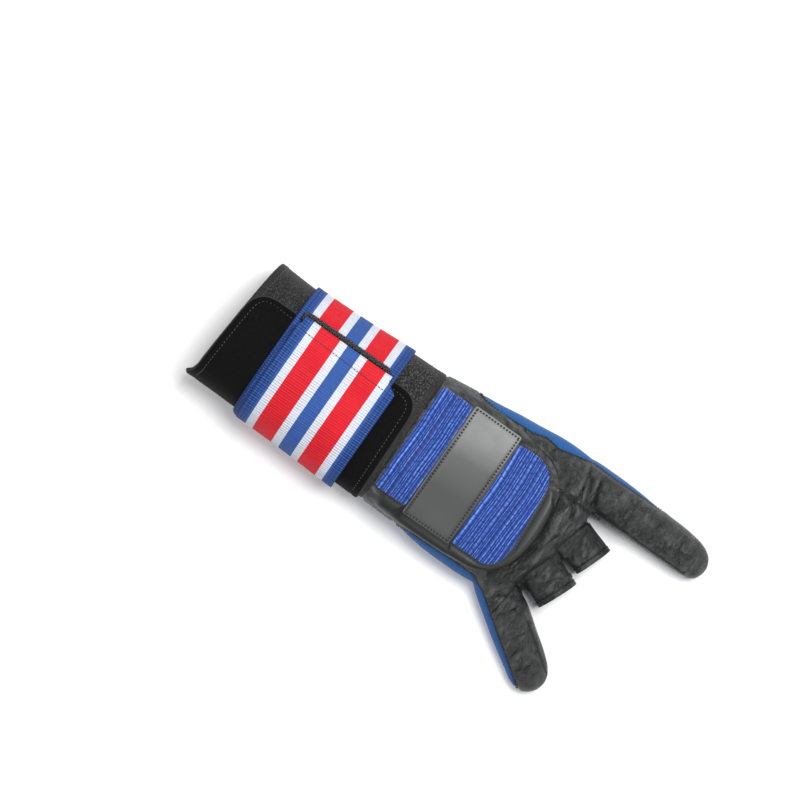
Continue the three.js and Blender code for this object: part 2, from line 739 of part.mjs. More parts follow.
function barRod(radius, length, sides) {
  const geometry = new THREE.CylinderGeometry(radius, radius, length, sides);
  geometry.rotateZ(Math.PI / 2);
  geometry.applyMatrix4(ringFrame);
  return solidOf(geometry);
}

// The upper strap, from its fold on the ring round to the little-finger side
const overLow = underTop + GAP;
const strapOverPlan = [
  [strapFar + 2 * OVER_SHIFT, -CUFF_WIDTH],
  [strapNear + STRAP_FAN + 2 * OVER_SHIFT, -CUFF_WIDTH],
  [strapNear + OVER_SHIFT, nearBarY - wire],
  [strapFar + OVER_SHIFT, nearBarY - wire],
];
const foldLength = ringLength - 2 * (ringCorner + wire + GAP);
const strapFold = barRod(foldRadius, foldLength, FOLD_SIDES);
const foldBore = barRod(wire + GAP, STRAP_WIDTH, FOLD_SIDES);
const ringSwollen = wireRing(ringLength, barSpacing, ringCorner, wire + GAP).transform(ringFrame.elements);
const wrapStrapOver = cuffLayer(strapOverPlan, overLow, overLow + webbing, OVER_LOW_EDGE)
  .add(strapFold)
  .subtract(foldBore)
  .subtract(ringSwollen);

// Colours and finishes
const finish = (color, roughness, metalness = 0) =>
  new THREE.MeshStandardMaterial({ color, roughness, metalness, flatShading: true });
const leatherFinish = finish(0x3a3c3d, 0.45);
const padFinish = finish(0x45484a, 0.4);
const fabricFinish = finish(0x2c66b4, 0.8);
const elasticFinish = finish(0x2348a8, 0.85);
const labelFinish = finish(0x4c4d4f, 0.35);
const cuffFinish = finish(0x37393a, 0.8);
const flapFinish = finish(0x141414, 0.95);
const strapRedFinish = finish(0xe8283c, 0.75);
const strapBlueFinish = finish(0x3a62ae, 0.75);
const wireFinish = finish(0x1b1b1c, 0.55);

const glove = new THREE.Group();

function addPiece(name, solid, material) {
  const { numProp, numVert, vertProperties, triVerts } = mainBody(solid).getMesh();
  const positions = new Float32Array(numVert * 3);
  for (let i = 0; i < numVert; i++) {
    positions.set(vertProperties.subarray(i * numProp, i * numProp + 3), i * 3);
  }
  const geometry = new THREE.BufferGeometry();
  geometry.setAttribute("position", new THREE.BufferAttribute(positions, 3));
  geometry.setIndex(new THREE.BufferAttribute(triVerts, 1));
  geometry.computeVertexNormals();
  const mesh = new THREE.Mesh(geometry, material);
  mesh.name = name;
  glove.add(mesh);
}

addPiece("palm_panel", palmPanel, fabricFinish);
addPiece("hand_back", handBack, leatherFinish);
addPiece("index_finger_back", indexBack, leatherFinish);
addPiece("little_finger_back", littleBack, leatherFinish);
addPiece("middle_finger_sleeve", middleSleeve, leatherFinish);
addPiece("ring_finger_sleeve", ringSleeve, leatherFinish);
addPiece("padded_frame", paddedFrame, padFinish);
addPiece("wrist_elastic", wristElastic, elasticFinish);
addPiece("knuckle_elastic", knuckleElastic, elasticFinish);
addPiece("back_label", backLabel, labelFinish);
addPiece("wrist_cuff", wristCuff, cuffFinish);
addPiece("closing_flap", closingFlap, flapFinish);
addPiece("wrap_strap_under", wrapStrapUnder, strapBlueFinish);
addPiece("wrap_strap_over", wrapStrapOver, strapRedFinish);
addPiece("strap_ring", strapRing, wireFinish);

export default glove;
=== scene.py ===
"""Bowling glove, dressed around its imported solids. Lengths in the tables are millimetres."""

import math

import bpy
import numpy as np
from bpy.props import FloatProperty, FloatVectorProperty, PointerProperty
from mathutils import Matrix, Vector


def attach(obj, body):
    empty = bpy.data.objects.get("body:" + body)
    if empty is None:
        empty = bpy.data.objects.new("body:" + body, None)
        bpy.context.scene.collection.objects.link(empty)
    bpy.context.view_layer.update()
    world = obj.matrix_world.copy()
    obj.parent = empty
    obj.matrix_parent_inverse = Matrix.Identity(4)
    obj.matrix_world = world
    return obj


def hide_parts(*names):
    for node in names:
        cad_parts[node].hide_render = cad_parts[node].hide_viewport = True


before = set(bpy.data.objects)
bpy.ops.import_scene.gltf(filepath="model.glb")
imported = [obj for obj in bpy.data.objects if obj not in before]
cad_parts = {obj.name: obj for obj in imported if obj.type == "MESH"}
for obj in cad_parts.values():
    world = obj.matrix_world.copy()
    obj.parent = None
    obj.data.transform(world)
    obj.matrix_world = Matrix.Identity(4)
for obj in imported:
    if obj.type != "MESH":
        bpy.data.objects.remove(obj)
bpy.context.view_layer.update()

bl_info = {
    "name": "Bowling Glove",
    "version": (1, 0, 0),
    "blender": (4, 5, 0),
    "location": "View3D > Sidebar > Glove",
    "description": "Builds a right-hand bowling glove with a stiff cuff and a striped strap",
    "category": "Add Mesh",
}

MM = 0.001
# Squareness of a limb's outline, height of its widest place, and how far its flat underside is cut
ROUNDNESS = 2.35
BELLY = 0.42
UNDERSIDE_REACH = 1.08

# The named sizes that the section tables follow
CUFF_EDGE = -10.0
CUFF_LENGTH, CUFF_WIDTH, CUFF_HEIGHT, CUFF_WALL = 118.0, 84.0, 58.0, 3.0
CUFF_BASE = 1.8
HAND_LENGTH, HAND_WIDTH, HAND_HEIGHT = 106.0, 96.0, 48.0
INDEX = {"x": 100.0, "y": 35.0, "angle": 0.0, "length": 78.0, "width": 27.0, "height": 27.0}
LITTLE = {"x": 100.0, "y": -54.5, "angle": -35.0, "length": 45.0, "width": 26.0, "height": 24.0}
MIDDLE = {"x": 103.0, "y": 5.3, "angle": -17.0, "length": 20.0, "width": 23.7, "height": 25.0}
RING = {"x": 96.2, "y": -20.6, "angle": -20.0, "length": 21.5, "width": 25.0, "height": 25.0}

# Sections: place along the limb, low edge, high edge, underside and top, as shares of its sizes
CUFF_ROWS = (
    (0.0, -0.551, 0.467, 0, 0.845),
    (0.136, -0.545, 0.464, 0, 0.871),
    (0.441, -0.526, 0.443, 0, 0.94),
    (0.746, -0.517, 0.438, 0, 1.0),
    (0.898, -0.512, 0.449, 0, 1.022),
    (1.09, -0.512, 0.462, 0, 1.04),
)
HAND_ROWS = (
    (-0.052, -0.487, 0.413, 0, 1.012),
    (0.151, -0.495, 0.441, 0, 0.958),
    (0.321, -0.52, 0.464, 0, 0.908),
    (0.491, -0.526, 0.483, 0, 0.854),
    (0.66, -0.518, 0.503, 0, 0.804),
    (0.755, -0.495, 0.503, 0, 0.775),
    (0.83, -0.438, 0.495, 0, 0.73),
    (0.868, -0.391, 0.48, 0, 0.705),
    (0.925, -0.271, 0.44, 0, 0.65),
    (0.981, -0.125, 0.24, 0, 0.565),
    (1.004, -0.115, -0.052, 0.062, 0.5),
)
INDEX_ROWS = (
    (-0.26, -0.4, 0.38, 0, 1.1),
    (-0.155, -0.49, 0.48, 0, 1.19),
    (-0.07, -0.495, 0.5, 0, 1.16),
    (0.025, -0.5, 0.5, 0, 1.09),
    (0.2, -0.502, 0.49, 0, 0.98),
    (0.32, -0.495, 0.47, 0, 0.94),
    (0.54, -0.49, 0.425, 0, 0.88),
    (0.77, -0.485, 0.378, 0, 0.8),
    (0.85, -0.478, 0.34, 0.03, 0.73),
    (0.925, -0.43, 0.255, 0.08, 0.62),
    (0.975, -0.32, 0.13, 0.16, 0.49),
    (0.997, -0.18, 0.0, 0.24, 0.36),
)
LITTLE_ROWS = (
    (-0.76, -0.42, 0.38, 0, 1.1),
    (-0.45, -0.49, 0.47, 0, 1.08),
    (-0.2, -0.5, 0.5, 0, 1.02),
    (0.02, -0.5, 0.5, 0, 0.95),
    (0.3, -0.49, 0.49, 0, 0.87),
    (0.6, -0.46, 0.48, 0, 0.79),
    (0.78, -0.44, 0.44, 0.03, 0.71),
    (0.9, -0.36, 0.35, 0.09, 0.59),
    (0.97, -0.23, 0.22, 0.16, 0.47),
    (1.0, -0.09, 0.09, 0.24, 0.35),
)
MIDDLE_ROWS = (
    (-0.85, -0.46, 0.5, 0.04, 1.16),
    (-0.1, -0.51, 0.51, 0.04, 1.12),
    (0.3, -0.5, 0.5, 0.04, 1.04),
    (1.1, -0.5, 0.5, 0.05, 0.95),
)
RING_ROWS = (
    (-0.85, -0.5, 0.55, 0.04, 1.14),
    (-0.1, -0.57, 0.57, 0.04, 1.1),
    (0.3, -0.535, 0.535, 0.04, 1.02),
    (1.1, -0.5, 0.5, 0.05, 0.92),
)

# Creases of the leather: two ends in plan, depth (below zero for a ridge) and width
CREASES = (
    (89.7, 42.0, 94.6, 22.5, 1.1, 1.5),
    (93.4, 41.0, 98.6, 23.0, 1.0, 1.3),
    (98.9, 42.5, 102.3, 24.0, 1.4, 1.7),
    (95.6, 41.0, 100.3, 24.0, -0.9, 1.5),
    (91.4, 40.0, 96.6, 23.5, -0.8, 1.4),
    (87.2, 39.0, 91.6, 24.0, -1.0, 2.4),
    (82.6, 33.0, 86.0, 21.5, 0.8, 2.2),
    (77.0, 38.0, 79.0, 27.0, 0.6, 2.0),
    (66.0, 40.5, 69.5, 35.0, 0.5, 1.8),
    (85.4, 20.0, 88.6, -12.0, 1.7, 2.6),
    (88.6, -12.0, 85.0, -28.0, 1.7, 2.6),
    (85.0, -28.0, 76.0, -42.0, 1.4, 2.6),
    (91.6, 19.0, 92.6, 0.0, -1.0, 2.2),
    (92.6, 0.0, 92.5, -22.0, -0.9, 2.2),
    (95.2, 17.0, 96.0, 3.0, 0.8, 1.5),
    (97.6, 2.0, 91.0, -16.0, 0.7, 1.6),
    (92.0, -26.0, 84.0, -37.0, 0.8, 1.6),
    (96.0, -40.0, 88.0, -50.0, 0.7, 1.8),
    (101.0, -46.0, 95.0, -57.0, 0.5, 1.5),
    (117.0, 40.0, 119.0, 27.0, 0.35, 1.5),
    (122.5, 42.0, 124.0, 25.0, 0.45, 1.3),
    (131.0, 40.0, 130.0, 28.0, 0.3, 1.4),
    (141.0, 43.0, 142.5, 26.0, 0.5, 1.5),
    (146.0, 41.0, 146.5, 28.0, 0.35, 1.2),
    (157.0, 41.0, 158.0, 27.0, 0.35, 1.4),
    (165.0, 40.0, 166.0, 28.0, 0.3, 1.3),
    (113.0, -56.0, 107.0, -66.0, 0.4, 1.4),
    (118.0, -64.0, 113.0, -72.0, 0.35, 1.3),
    (126.0, -70.0, 121.0, -78.0, 0.3, 1.3),
    (107.0, 14.0, 110.0, -4.0, 0.45, 1.5),
    (114.0, 12.0, 116.0, -6.0, 0.35, 1.4),
    (101.0, -16.0, 98.0, -31.0, 0.5, 1.6),
    (110.0, -18.0, 106.0, -34.0, 0.4, 1.4),
)

# Plans on the back of the hand, in the glove's own millimetres
FRAME_PLAN = (
    (-7.4, -44.6), (20, -45.6), (48, -45.2), (66, -43.8), (75.5, -38.6), (82, -29.5), (85.6, -18),
    (86.8, -5), (85.6, 8), (82.6, 20.5), (79, 24.5), (74.6, 29.5), (66, 33.8), (56, 35.2), (48, 37.4),
    (40, 38.9), (16, 39.3), (-7.4, 38.2),
)
WRIST_BAND_PLAN = ((-6.6, -35), (14.2, -35), (14.2, 32.3), (-6.6, 32.3))
LABEL_PLAN = ((15, -39), (47, -39), (47, 34), (15, 34))
KNUCKLE_BAND_PLAN = (
    (48, -37), (69, -37), (73.9, -34.4), (77.4, -28.5), (78, -20), (76.4, 5), (74.7, 20.8), (71.4, 26),
    (66, 29.6), (60, 30.7), (48, 30.2),
)
BACK_PLAN = (
    (-200, -200), (10, -200), (10, -67), (14, -47.2), (30, -46.2), (50, -45.5), (69, -45.8),
    (79, -50.4), (100, -65.6), (129, -85.6), (131, -120), (400, -120), (400, 200), (141, 200),
    (141, 60), (137, 46.2), (105, 45.8), (89, 46.1), (68, 41.6), (59, 42.9), (50, 40.4), (39, 40.0),
    (29, 39.3), (18, 40.0), (13, 41.5), (10, 67), (10, 200), (-200, 200),
)
INDEX_PLAN = (
    (74.2, 22.0), (400, 22.0), (400, 200), (46, 200), (46, 37.6), (56, 35.4), (66, 34.0), (74.8, 29.6),
)
THUMB_HOLE = {"x": 24.0, "z": 13.6, "length": 36.0, "height": 21.0}
BACK_DROP = 12.0

# The strap's stripes: share of the width at which each ends, and its colour
STRIPES = (
    (0.101, "blue"), (0.168, "white"), (0.366, "red"), (0.438, "white"), (0.567, "blue"),
    (0.638, "white"), (0.828, "red"), (0.898, "white"), (1.0, "blue"),
)
FLAP_EDGE, FLAP_LOW_EDGE, FLAP_THICKNESS = 19.0, 16.0, 2.0
STRAP_FAR, STRAP_NEAR = -97.7, -30.8
OVER_FAR, OVER_NEAR = -94.1, -26.2
STRAP_THICKNESS, GAP = 1.5, 0.3

# Where the girth is taken under the strap and under the flap, and other places on the glove
STRAP_MIDDLE, CUFF_MIDDLE = -66.0, -70.0
NECK_START, NECK_END = -24.0, -22.0
SLEEVE_HALF = 15.0
SLEEVE_HEM = 3.1
FAR_AWAY = 60.0
SIDE_SEAMS = ((INDEX, -10.7), (LITTLE, 9.6))
FLAP_SEAM = 4.6

# The over strap: radius of its fold round the ring, run over which it comes down from there, share of
# the girth at which it ends, and how much narrower its far and near edges are at the ring
FOLD_RADIUS, FOLD_FALL, OVER_END = 2.1, 20.0, -0.295
NARROWER_FAR, NARROWER_NEAR = 1.6, 7.2
TURN_STEPS = 22

# Points round and along the lofts of the hand and of a finger
HAND_ROUND, HAND_ALONG = 120, 70
FINGER_ROUND, FINGER_ALONG = 64, 60

# Depth and width of the valleys at the seams, and height and depth at the sleeves' hems
SEAM_DEPTH, SEAM_WIDTH = 0.75, 1.1
HEM_RISE, HEM_DEPTH, HEM_WIDTH = 0.06, 0.28, 0.6

# Stitches: slot, pitch (None for the glove's own), length and thickness in metres, slant in degrees
STITCHES = {
    "cuff_stitches": ("grained_cuff", 0.0022, 0.0014, 0.0005, 0),
    "flap_stitches": ("flap_velour", 0.0023, 0.0015, 0.00045, 0),
    "strap_stitches": ("striped_webbing", None, 0.0021, 0.00055, 0),
    "label_stitches": ("label_patch", 0.00205, 0.0015, 0.00145, 0),
    "frame_stitches": ("smooth_leather", None, 0.0013, 0.0008, 0),
    "whip_stitches": ("black_leather", None, 0.0022, 0.0006, 72),
    "panel_stitches": ("black_leather", None, 0.0015, 0.0007, 0),
}
SHORTEST_LINE = 8


class GloveSizes(bpy.types.PropertyGroup):
    """Sizes of the glove's finish"""

    voxel: FloatProperty(
        name="Leather fineness", description="Edge length of the leather's faces", default=0.00085,
        unit="LENGTH",
    )
    leather: FloatProperty(
        name="Leather thickness", description="Thickness of the leather panels", default=0.0014, unit="LENGTH"
    )
    pad: FloatProperty(
        name="Padding height", description="Height of the padded frame", default=0.0031, unit="LENGTH"
    )
    rib_pitch: FloatProperty(
        name="Elastic rib pitch", description="Distance between the ribs of the elastic", default=0.0017,
        unit="LENGTH",
    )
    weft_pitch: FloatProperty(
        name="Webbing rib pitch", description="Distance between the cross ribs of the strap", default=0.0014,
        unit="LENGTH",
    )
    stitch_pitch: FloatProperty(
        name="Stitch pitch", description="Distance between stitches", default=0.0021, unit="LENGTH"
    )


class GloveColours(bpy.types.PropertyGroup):
    """Colours of the glove"""

    leather: FloatVectorProperty(
        name="Leather", description="Colour of the black leather", subtype="COLOR",
        default=(0.039, 0.0405, 0.041),
    )
    fabric: FloatVectorProperty(
        name="Stretch fabric", description="Colour of the blue palm", subtype="COLOR",
        default=(0.013, 0.135, 0.43),
    )
    elastic: FloatVectorProperty(
        name="Elastic", description="Colour of the ribbed elastic", subtype="COLOR",
        default=(0.016, 0.062, 0.36),
    )
    red: FloatVectorProperty(
        name="Stripe red", description="Red of the strap", subtype="COLOR", default=(0.68, 0.012, 0.024)
    )
    blue: FloatVectorProperty(
        name="Stripe blue", description="Blue of the strap", subtype="COLOR", default=(0.034, 0.1, 0.34)
    )
    white: FloatVectorProperty(
        name="Stripe white", description="White of the strap", subtype="COLOR", default=(0.65, 0.69, 0.76)
    )


def smooth_table(table, at):
    """Each column of a table of numbers, interpolated smoothly at the places `at` of its first."""
    rows = np.array(table, float)
    x, y = rows[:, 0], rows[:, 1:]
    step = np.diff(x)
    slope = np.diff(y, axis=0) / step[:, None]
    inner = (slope[:-1] * step[1:, None] + slope[1:] * step[:-1, None]) / (step[:-1] + step[1:])[:, None]
    tangent = np.vstack([slope[:1], inner, slope[-1:]])
    at = np.clip(at, x[0], x[-1])
    i = np.clip(np.searchsorted(x, at, side="right") - 1, 0, len(step) - 1)
    h = step[i]
    t = ((at - x[i]) / h)[:, None]
    h = h[:, None]
    return (
        (2 * t**3 - 3 * t**2 + 1) * y[i]
        + (t**3 - 2 * t**2 + t) * h * tangent[i]
        + (3 * t**2 - 2 * t**3) * y[i + 1]
        + (t**3 - t**2) * h * tangent[i + 1]
    )


def bulge(value):
    """A circle's cosine or sine, made squarer for the outline of a limb."""
    return np.sign(value) * np.abs(value) ** (2 / ROUNDNESS)


def eased(t):
    """A share from 0 to 1 with a soft start and a soft end."""
    return 3 * t**2 - 2 * t**3


def section(low, high, base, top, angle):
    """Corners of sections that are flat underneath: arrays over places and angles."""
    low, high, base, top = (np.asarray(a, float)[:, None] for a in (low, high, base, top))
    belly = base + BELLY * (top - base)
    v = (low + high) / 2 + (high - low) / 2 * bulge(np.cos(angle))[None]
    rise = np.where(np.sin(angle)[None] > 0, top - belly, (belly - base) * UNDERSIDE_REACH)
    z = np.maximum(belly + rise * bulge(np.sin(angle))[None], base)
    return v, z


def lifted(v, z, lift):
    """The sections moved out along their own normals."""
    dv = np.roll(v, -1, 1) - np.roll(v, 1, 1)
    dz = np.roll(z, -1, 1) - np.roll(z, 1, 1)
    size = np.hypot(dv, dz) + 1e-9
    return v + lift * dz / size, z - lift * dv / size


def limb_rings(table, place, us, angle, lift=0.0):
    """Rings of points of a limb at the shares `us` along it."""
    low, high, base, top = smooth_table(table, us).T
    width, height = place["width"], place["height"]
    v, z = section(low * width, high * width, base * height, top * height, angle)
    v, z = lifted(v, z, lift)
    u = us[:, None] * place["length"] + 0 * v
    turn = math.radians(place["angle"])
    x = place["x"] + u * math.cos(turn) - v * math.sin(turn)
    y = place["y"] + u * math.sin(turn) + v * math.cos(turn)
    return np.stack([x, y, z], -1)


def tube(rings, ends=True):
    """A closed skin through rings of points, with a fan over each end."""
    n, m = rings.shape[:2]
    points = rings.reshape(-1, 3)
    i, k = np.meshgrid(np.arange(n - 1), np.arange(m), indexing="ij")
    a, b = (i * m + k).ravel(), (i * m + (k + 1) % m).ravel()
    tris = [np.stack([a, b, a + m], 1), np.stack([b, b + m, a + m], 1)]
    if ends:
        points = np.vstack([points, rings[0].mean(0), rings[-1].mean(0)])
        k = np.arange(m)
        near, far = (k + 1) % m, (n - 1) * m
        tris.append(np.stack([np.full(m, n * m), near, k], 1))
        tris.append(np.stack([np.full(m, n * m + 1), far + k, far + near], 1))
    return points, np.vstack(tris)


def loop_tube(rings):
    """A skin through rings of points whose last ring joins the first."""
    count = rings.shape[0] * rings.shape[1]
    _, tris = tube(np.concatenate([rings, rings[:1]]), ends=False)
    return rings.reshape(-1, 3), np.where(tris >= count, tris - count, tris)


def sheet_of(grid):
    """Triangles over a grid of points."""
    n, m = grid.shape[:2]
    i, k = np.meshgrid(np.arange(n - 1), np.arange(m - 1), indexing="ij")
    a = (i * m + k).ravel()
    return np.vstack([np.stack([a, a + m, a + 1], 1), np.stack([a + 1, a + m, a + m + 1], 1)])


def edges_of(tris):
    """The directed edges of triangles."""
    return np.vstack([tris[:, [0, 1]], tris[:, [1, 2]], tris[:, [2, 0]]])


def outward(points, tris):
    """The triangles of a closed skin, turned round where they face inwards."""
    a, b, c = (points[tris[:, k]] - points.mean(0) for k in range(3))
    return tris[:, ::-1] if np.einsum("ij,ij->i", a, np.cross(b, c)).sum() < 0 else tris


def normals(points, tris):
    """The direction of the surface at each point, weighted by the size of its triangles."""
    face = np.cross(points[tris[:, 1]] - points[tris[:, 0]], points[tris[:, 2]] - points[tris[:, 0]])
    total = np.zeros_like(points)
    for corner in range(3):
        np.add.at(total, tris[:, corner], face)
    return total / (np.linalg.norm(total, axis=1, keepdims=True) + 1e-12)


def relax(points, tris, times, share=0.5):
    """Moves each point towards the middle of its neighbours."""
    pairs = np.unique(np.sort(edges_of(tris), 1), axis=0)
    count = np.bincount(pairs.ravel(), minlength=len(points))[:, None]
    for _ in range(times):
        total = np.zeros_like(points)
        np.add.at(total, pairs[:, 0], points[pairs[:, 1]])
        np.add.at(total, pairs[:, 1], points[pairs[:, 0]])
        points = points + share * (total / np.maximum(count, 1) - points)
    return points


def crossings(field, tris):
    """Where the zero of a field crosses triangles.

    Gives how many corners of each triangle are above it, the crossed triangles' corners with the lone one
    first, whether that one is above, the crossed edges, two of them for each crossed triangle, and the
    share of each edge at which the zero lies.
    """
    above = field[tris] > 0
    count = above.sum(1)
    crossed = (count == 1) | (count == 2)
    lone_above = (count == 1)[crossed]
    cut = tris[crossed]
    first = (above[crossed] == lone_above[:, None]).argmax(1)
    corners = [cut[np.arange(len(cut)), (first + k) % 3] for k in range(3)]
    edges = np.sort(np.vstack([np.stack([corners[0], corners[k]], 1) for k in (1, 2)]), 1)
    edges, back = np.unique(edges, axis=0, return_inverse=True)
    share = (field[edges[:, 0]] / (field[edges[:, 0]] - field[edges[:, 1]]))[:, None]
    return count, corners, lone_above, edges, np.split(back.ravel(), 2), share


def between(values, edges, share):
    """Values at a share of the way along edges."""
    return values[edges[:, 0]] * (1 - share) + values[edges[:, 1]] * share


def split(points, tris, field, extra=None):
    """Cuts triangles where the field is zero; returns the side above and the side below."""
    field = np.where(np.abs(field) < 1e-4, 1e-4, field)
    count, (a, b, c), up, edges, (p, q), share = crossings(field, tris)
    p, q = p + len(points), q + len(points)
    mixed = np.hstack([points, np.zeros((len(points), 1)) if extra is None else extra])
    mixed = np.vstack([mixed, between(mixed, edges, share)])
    lone = np.stack([a, p, q], 1)
    pair = np.vstack([np.stack([p, b, c], 1), np.stack([p, c, q], 1)])
    sides = []
    for side in (True, False):
        whole = tris[count == (3 if side else 0)]
        chosen = np.vstack([whole, lone[up == side], pair[np.tile(up != side, 2)]])
        used, new = np.unique(chosen, return_inverse=True)
        sides.append((mixed[used, :3], new.reshape(-1, 3), mixed[used, 3:]))
    return sides


def keep(points, tris, field):
    """The part of a surface where a field is above zero."""
    return split(points, tris, field(points))[0][:2]


def plan_distance(points, plan):
    """Distance in plan to an outline, above zero inside it."""
    xy = points[:, :2]
    corners = np.array(plan, float)
    best = np.full(len(xy), 1e9)
    inside = np.zeros(len(xy), bool)
    for a, b in zip(corners, np.roll(corners, -1, 0)):
        d = b - a
        t = np.clip(((xy - a) @ d) / (d @ d), 0, 1)
        best = np.minimum(best, np.hypot(*(xy - a - t[:, None] * d).T))
        crosses = (a[1] > xy[:, 1]) != (b[1] > xy[:, 1])
        at = a[0] + (xy[:, 1] - a[1]) / ((b[1] - a[1]) or 1e-9) * d[0]
        inside ^= crosses & (xy[:, 0] < at)
    return np.where(inside, best, -best)


def rim_edges(tris):
    """Directed edges that only one triangle has."""
    edges = edges_of(tris)
    _, back, counts = np.unique(np.sort(edges, 1), axis=0, return_inverse=True, return_counts=True)
    return edges[counts[back.ravel()] == 1]


def shell(outer, inner, tris):
    """A closed solid between two skins that share triangles."""
    n = len(outer)
    rim = rim_edges(tris)
    a, b = rim[:, 0], rim[:, 1]
    sides = np.vstack([np.stack([b, a, a + n], 1), np.stack([b, a + n, b + n], 1)])
    return np.vstack([outer, inner]), np.vstack([tris, tris[:, ::-1] + n, sides])


def rounded(distance, radius):
    """Height of a rounded edge at a distance in from it, from 0 to 1."""
    t = np.clip(distance / radius, 0, 1)
    return np.sqrt(np.maximum(1 - (1 - t) ** 2, 0))


def wave(points, size, seed=0.0):
    """Smooth unevenness between -1 and 1, of a given size, the same on every run."""
    p = points / size
    total = np.zeros(len(points))
    for k in range(5):
        a = seed + 1.7 * k
        direction = np.array([math.sin(2.1 * a + 1), math.cos(1.3 * a), math.sin(0.7 * a + 2)])
        total += np.sin(p @ (direction * (1.3 + 0.45 * k)) + 2.4 * a + np.sin(p @ np.roll(direction, 1) + a))
    return total / 5


def placed(name, data):
    """A new object, linked to the scene."""
    thing = bpy.data.objects.new(name, data)
    bpy.context.scene.collection.objects.link(thing)
    return thing


def new_piece(name, points, tris, material, attributes=None):
    """A smooth mesh object from millimetres, with its place in its mesh."""
    mesh = bpy.data.meshes.new(name)
    mesh.vertices.add(len(points))
    mesh.vertices.foreach_set("co", (np.asarray(points) * MM).astype(np.float32).ravel())
    mesh.loops.add(len(tris) * 3)
    mesh.loops.foreach_set("vertex_index", tris.astype(np.int32).ravel())
    mesh.polygons.add(len(tris))
    mesh.polygons.foreach_set("loop_start", np.arange(0, len(tris) * 3, 3, dtype=np.int32))
    mesh.polygons.foreach_set("use_smooth", np.ones(len(tris), bool))
    for key, values in (attributes or {}).items():
        layer = mesh.attributes.new(key, "FLOAT", "POINT")
        layer.data.foreach_set("value", np.asarray(values, np.float32))
    mesh.update(calc_edges=True)
    mesh.validate()
    piece = placed(name, mesh)
    mesh.materials.append(material)
    mesh.set_sharp_from_angle(angle=math.radians(50))
    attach(piece, "root")
    return piece


def new_node(tree, kind, inputs=None, **settings):
    """A node with its settings, and its inputs set or linked."""
    node = tree.nodes.new(kind)
    for key, value in settings.items():
        setattr(node, key, value)
    for key, value in (inputs or {}).items():
        if isinstance(value, bpy.types.NodeSocket):
            tree.links.new(value, node.inputs[key])
        else:
            node.inputs[key].default_value = value
    return node


class Finish:
    """A node material under construction."""

    def __init__(self, name, roughness, **sockets):
        self.material = bpy.data.materials.new(name)
        self.material.use_nodes = True
        self.tree = self.material.node_tree
        self.shader = self.tree.nodes["Principled BSDF"]
        self.shader.inputs["Roughness"].default_value = roughness
        for key, value in sockets.items():
            self.shader.inputs[key.replace("_", " ")].default_value = value
        self.place = self.add("ShaderNodeTexCoord").outputs["Object"]
        self.bump = None

    def add(self, kind, inputs=None, **settings):
        return new_node(self.tree, kind, inputs, **settings)

    def along(self, axis):
        """The place along one axis of the glove, in metres."""
        return self.add("ShaderNodeSeparateXYZ", {0: self.place}).outputs[axis]

    def stretched(self, scale, turn=0.0):
        """The place, scaled, and turned in plan by an angle in radians."""
        inputs = {"Vector": self.place, "Scale": scale, "Rotation": (0, 0, turn)}
        return self.add("ShaderNodeMapping", inputs).outputs[0]

    def noise(self, scale, detail=3.0, roughness=0.55, vector=None, distortion=0.0):
        inputs = {"Scale": scale, "Detail": detail, "Roughness": roughness, "Distortion": distortion}
        inputs["Vector"] = vector or self.place
        return self.add("ShaderNodeTexNoise", inputs).outputs["Fac"]

    def cells(self, scale):
        """Distance to the borders of a grain of cells."""
        inputs = {"Vector": self.place, "Scale": scale}
        return self.add("ShaderNodeTexVoronoi", inputs, feature="DISTANCE_TO_EDGE").outputs["Distance"]

    def bands(self, vector, scale, distortion):
        inputs = {"Vector": vector, "Scale": scale, "Distortion": distortion}
        return self.add("ShaderNodeTexWave", inputs, bands_direction="X").outputs["Fac"]

    def attribute(self, name):
        return self.add("ShaderNodeAttribute", attribute_name=name).outputs["Fac"]

    def maths(self, operation, a, b=0.5, c=0.0):
        return self.add("ShaderNodeMath", {0: a, 1: b, 2: c}, operation=operation).outputs[0]

    def times(self, a, b):
        """The product of two values."""
        return self.maths("MULTIPLY", a, b)

    def ramp(self, value, stops, interpolation="LINEAR"):
        node = self.add("ShaderNodeValToRGB", {"Fac": value})
        node.color_ramp.interpolation = interpolation
        elements = node.color_ramp.elements
        while len(elements) < len(stops):
            elements.new(0.5)
        for element, (at, colour) in zip(elements, stops):
            element.position = at
            element.color = (*colour, 1)
        return node.outputs["Color"]

    def mix(self, factor, a, b, blend="MIX"):
        """A colour between two colours or outputs."""
        a, b = ((*one, 1) if isinstance(one, tuple) else one for one in (a, b))
        node = self.add("ShaderNodeMix", {0: factor, 6: a, 7: b}, data_type="RGBA", blend_type=blend)
        return node.outputs[2]

    def span(self, value, low, high, to_low, to_high):
        """A range of values, clipped and mapped to another."""
        inputs = {"Value": value, "From Min": low, "From Max": high, "To Min": to_low, "To Max": to_high}
        return self.add("ShaderNodeMapRange", inputs).outputs[0]

    def colour(self, value):
        self.tree.links.new(value, self.shader.inputs["Base Color"])

    def rough(self, value):
        self.tree.links.new(value, self.shader.inputs["Roughness"])

    def raise_by(self, height, distance, strength=1.0):
        """Adds a layer of bumps to those that the material has."""
        inputs = {"Height": height, "Distance": distance, "Strength": strength}
        if self.bump:
            inputs["Normal"] = self.bump
        self.bump = self.add("ShaderNodeBump", inputs).outputs[0]
        self.tree.links.new(self.bump, self.shader.inputs["Normal"])


def sizes():
    """The glove's sizes, as set in the scene."""
    return bpy.context.scene.glove_sizes


def colours():
    """The glove's colours, as set in the scene."""
    return bpy.context.scene.glove_colours


def scaled(colour, factor):
    """A lighter or darker colour."""
    return tuple(min(channel * factor, 1.0) for channel in colour)


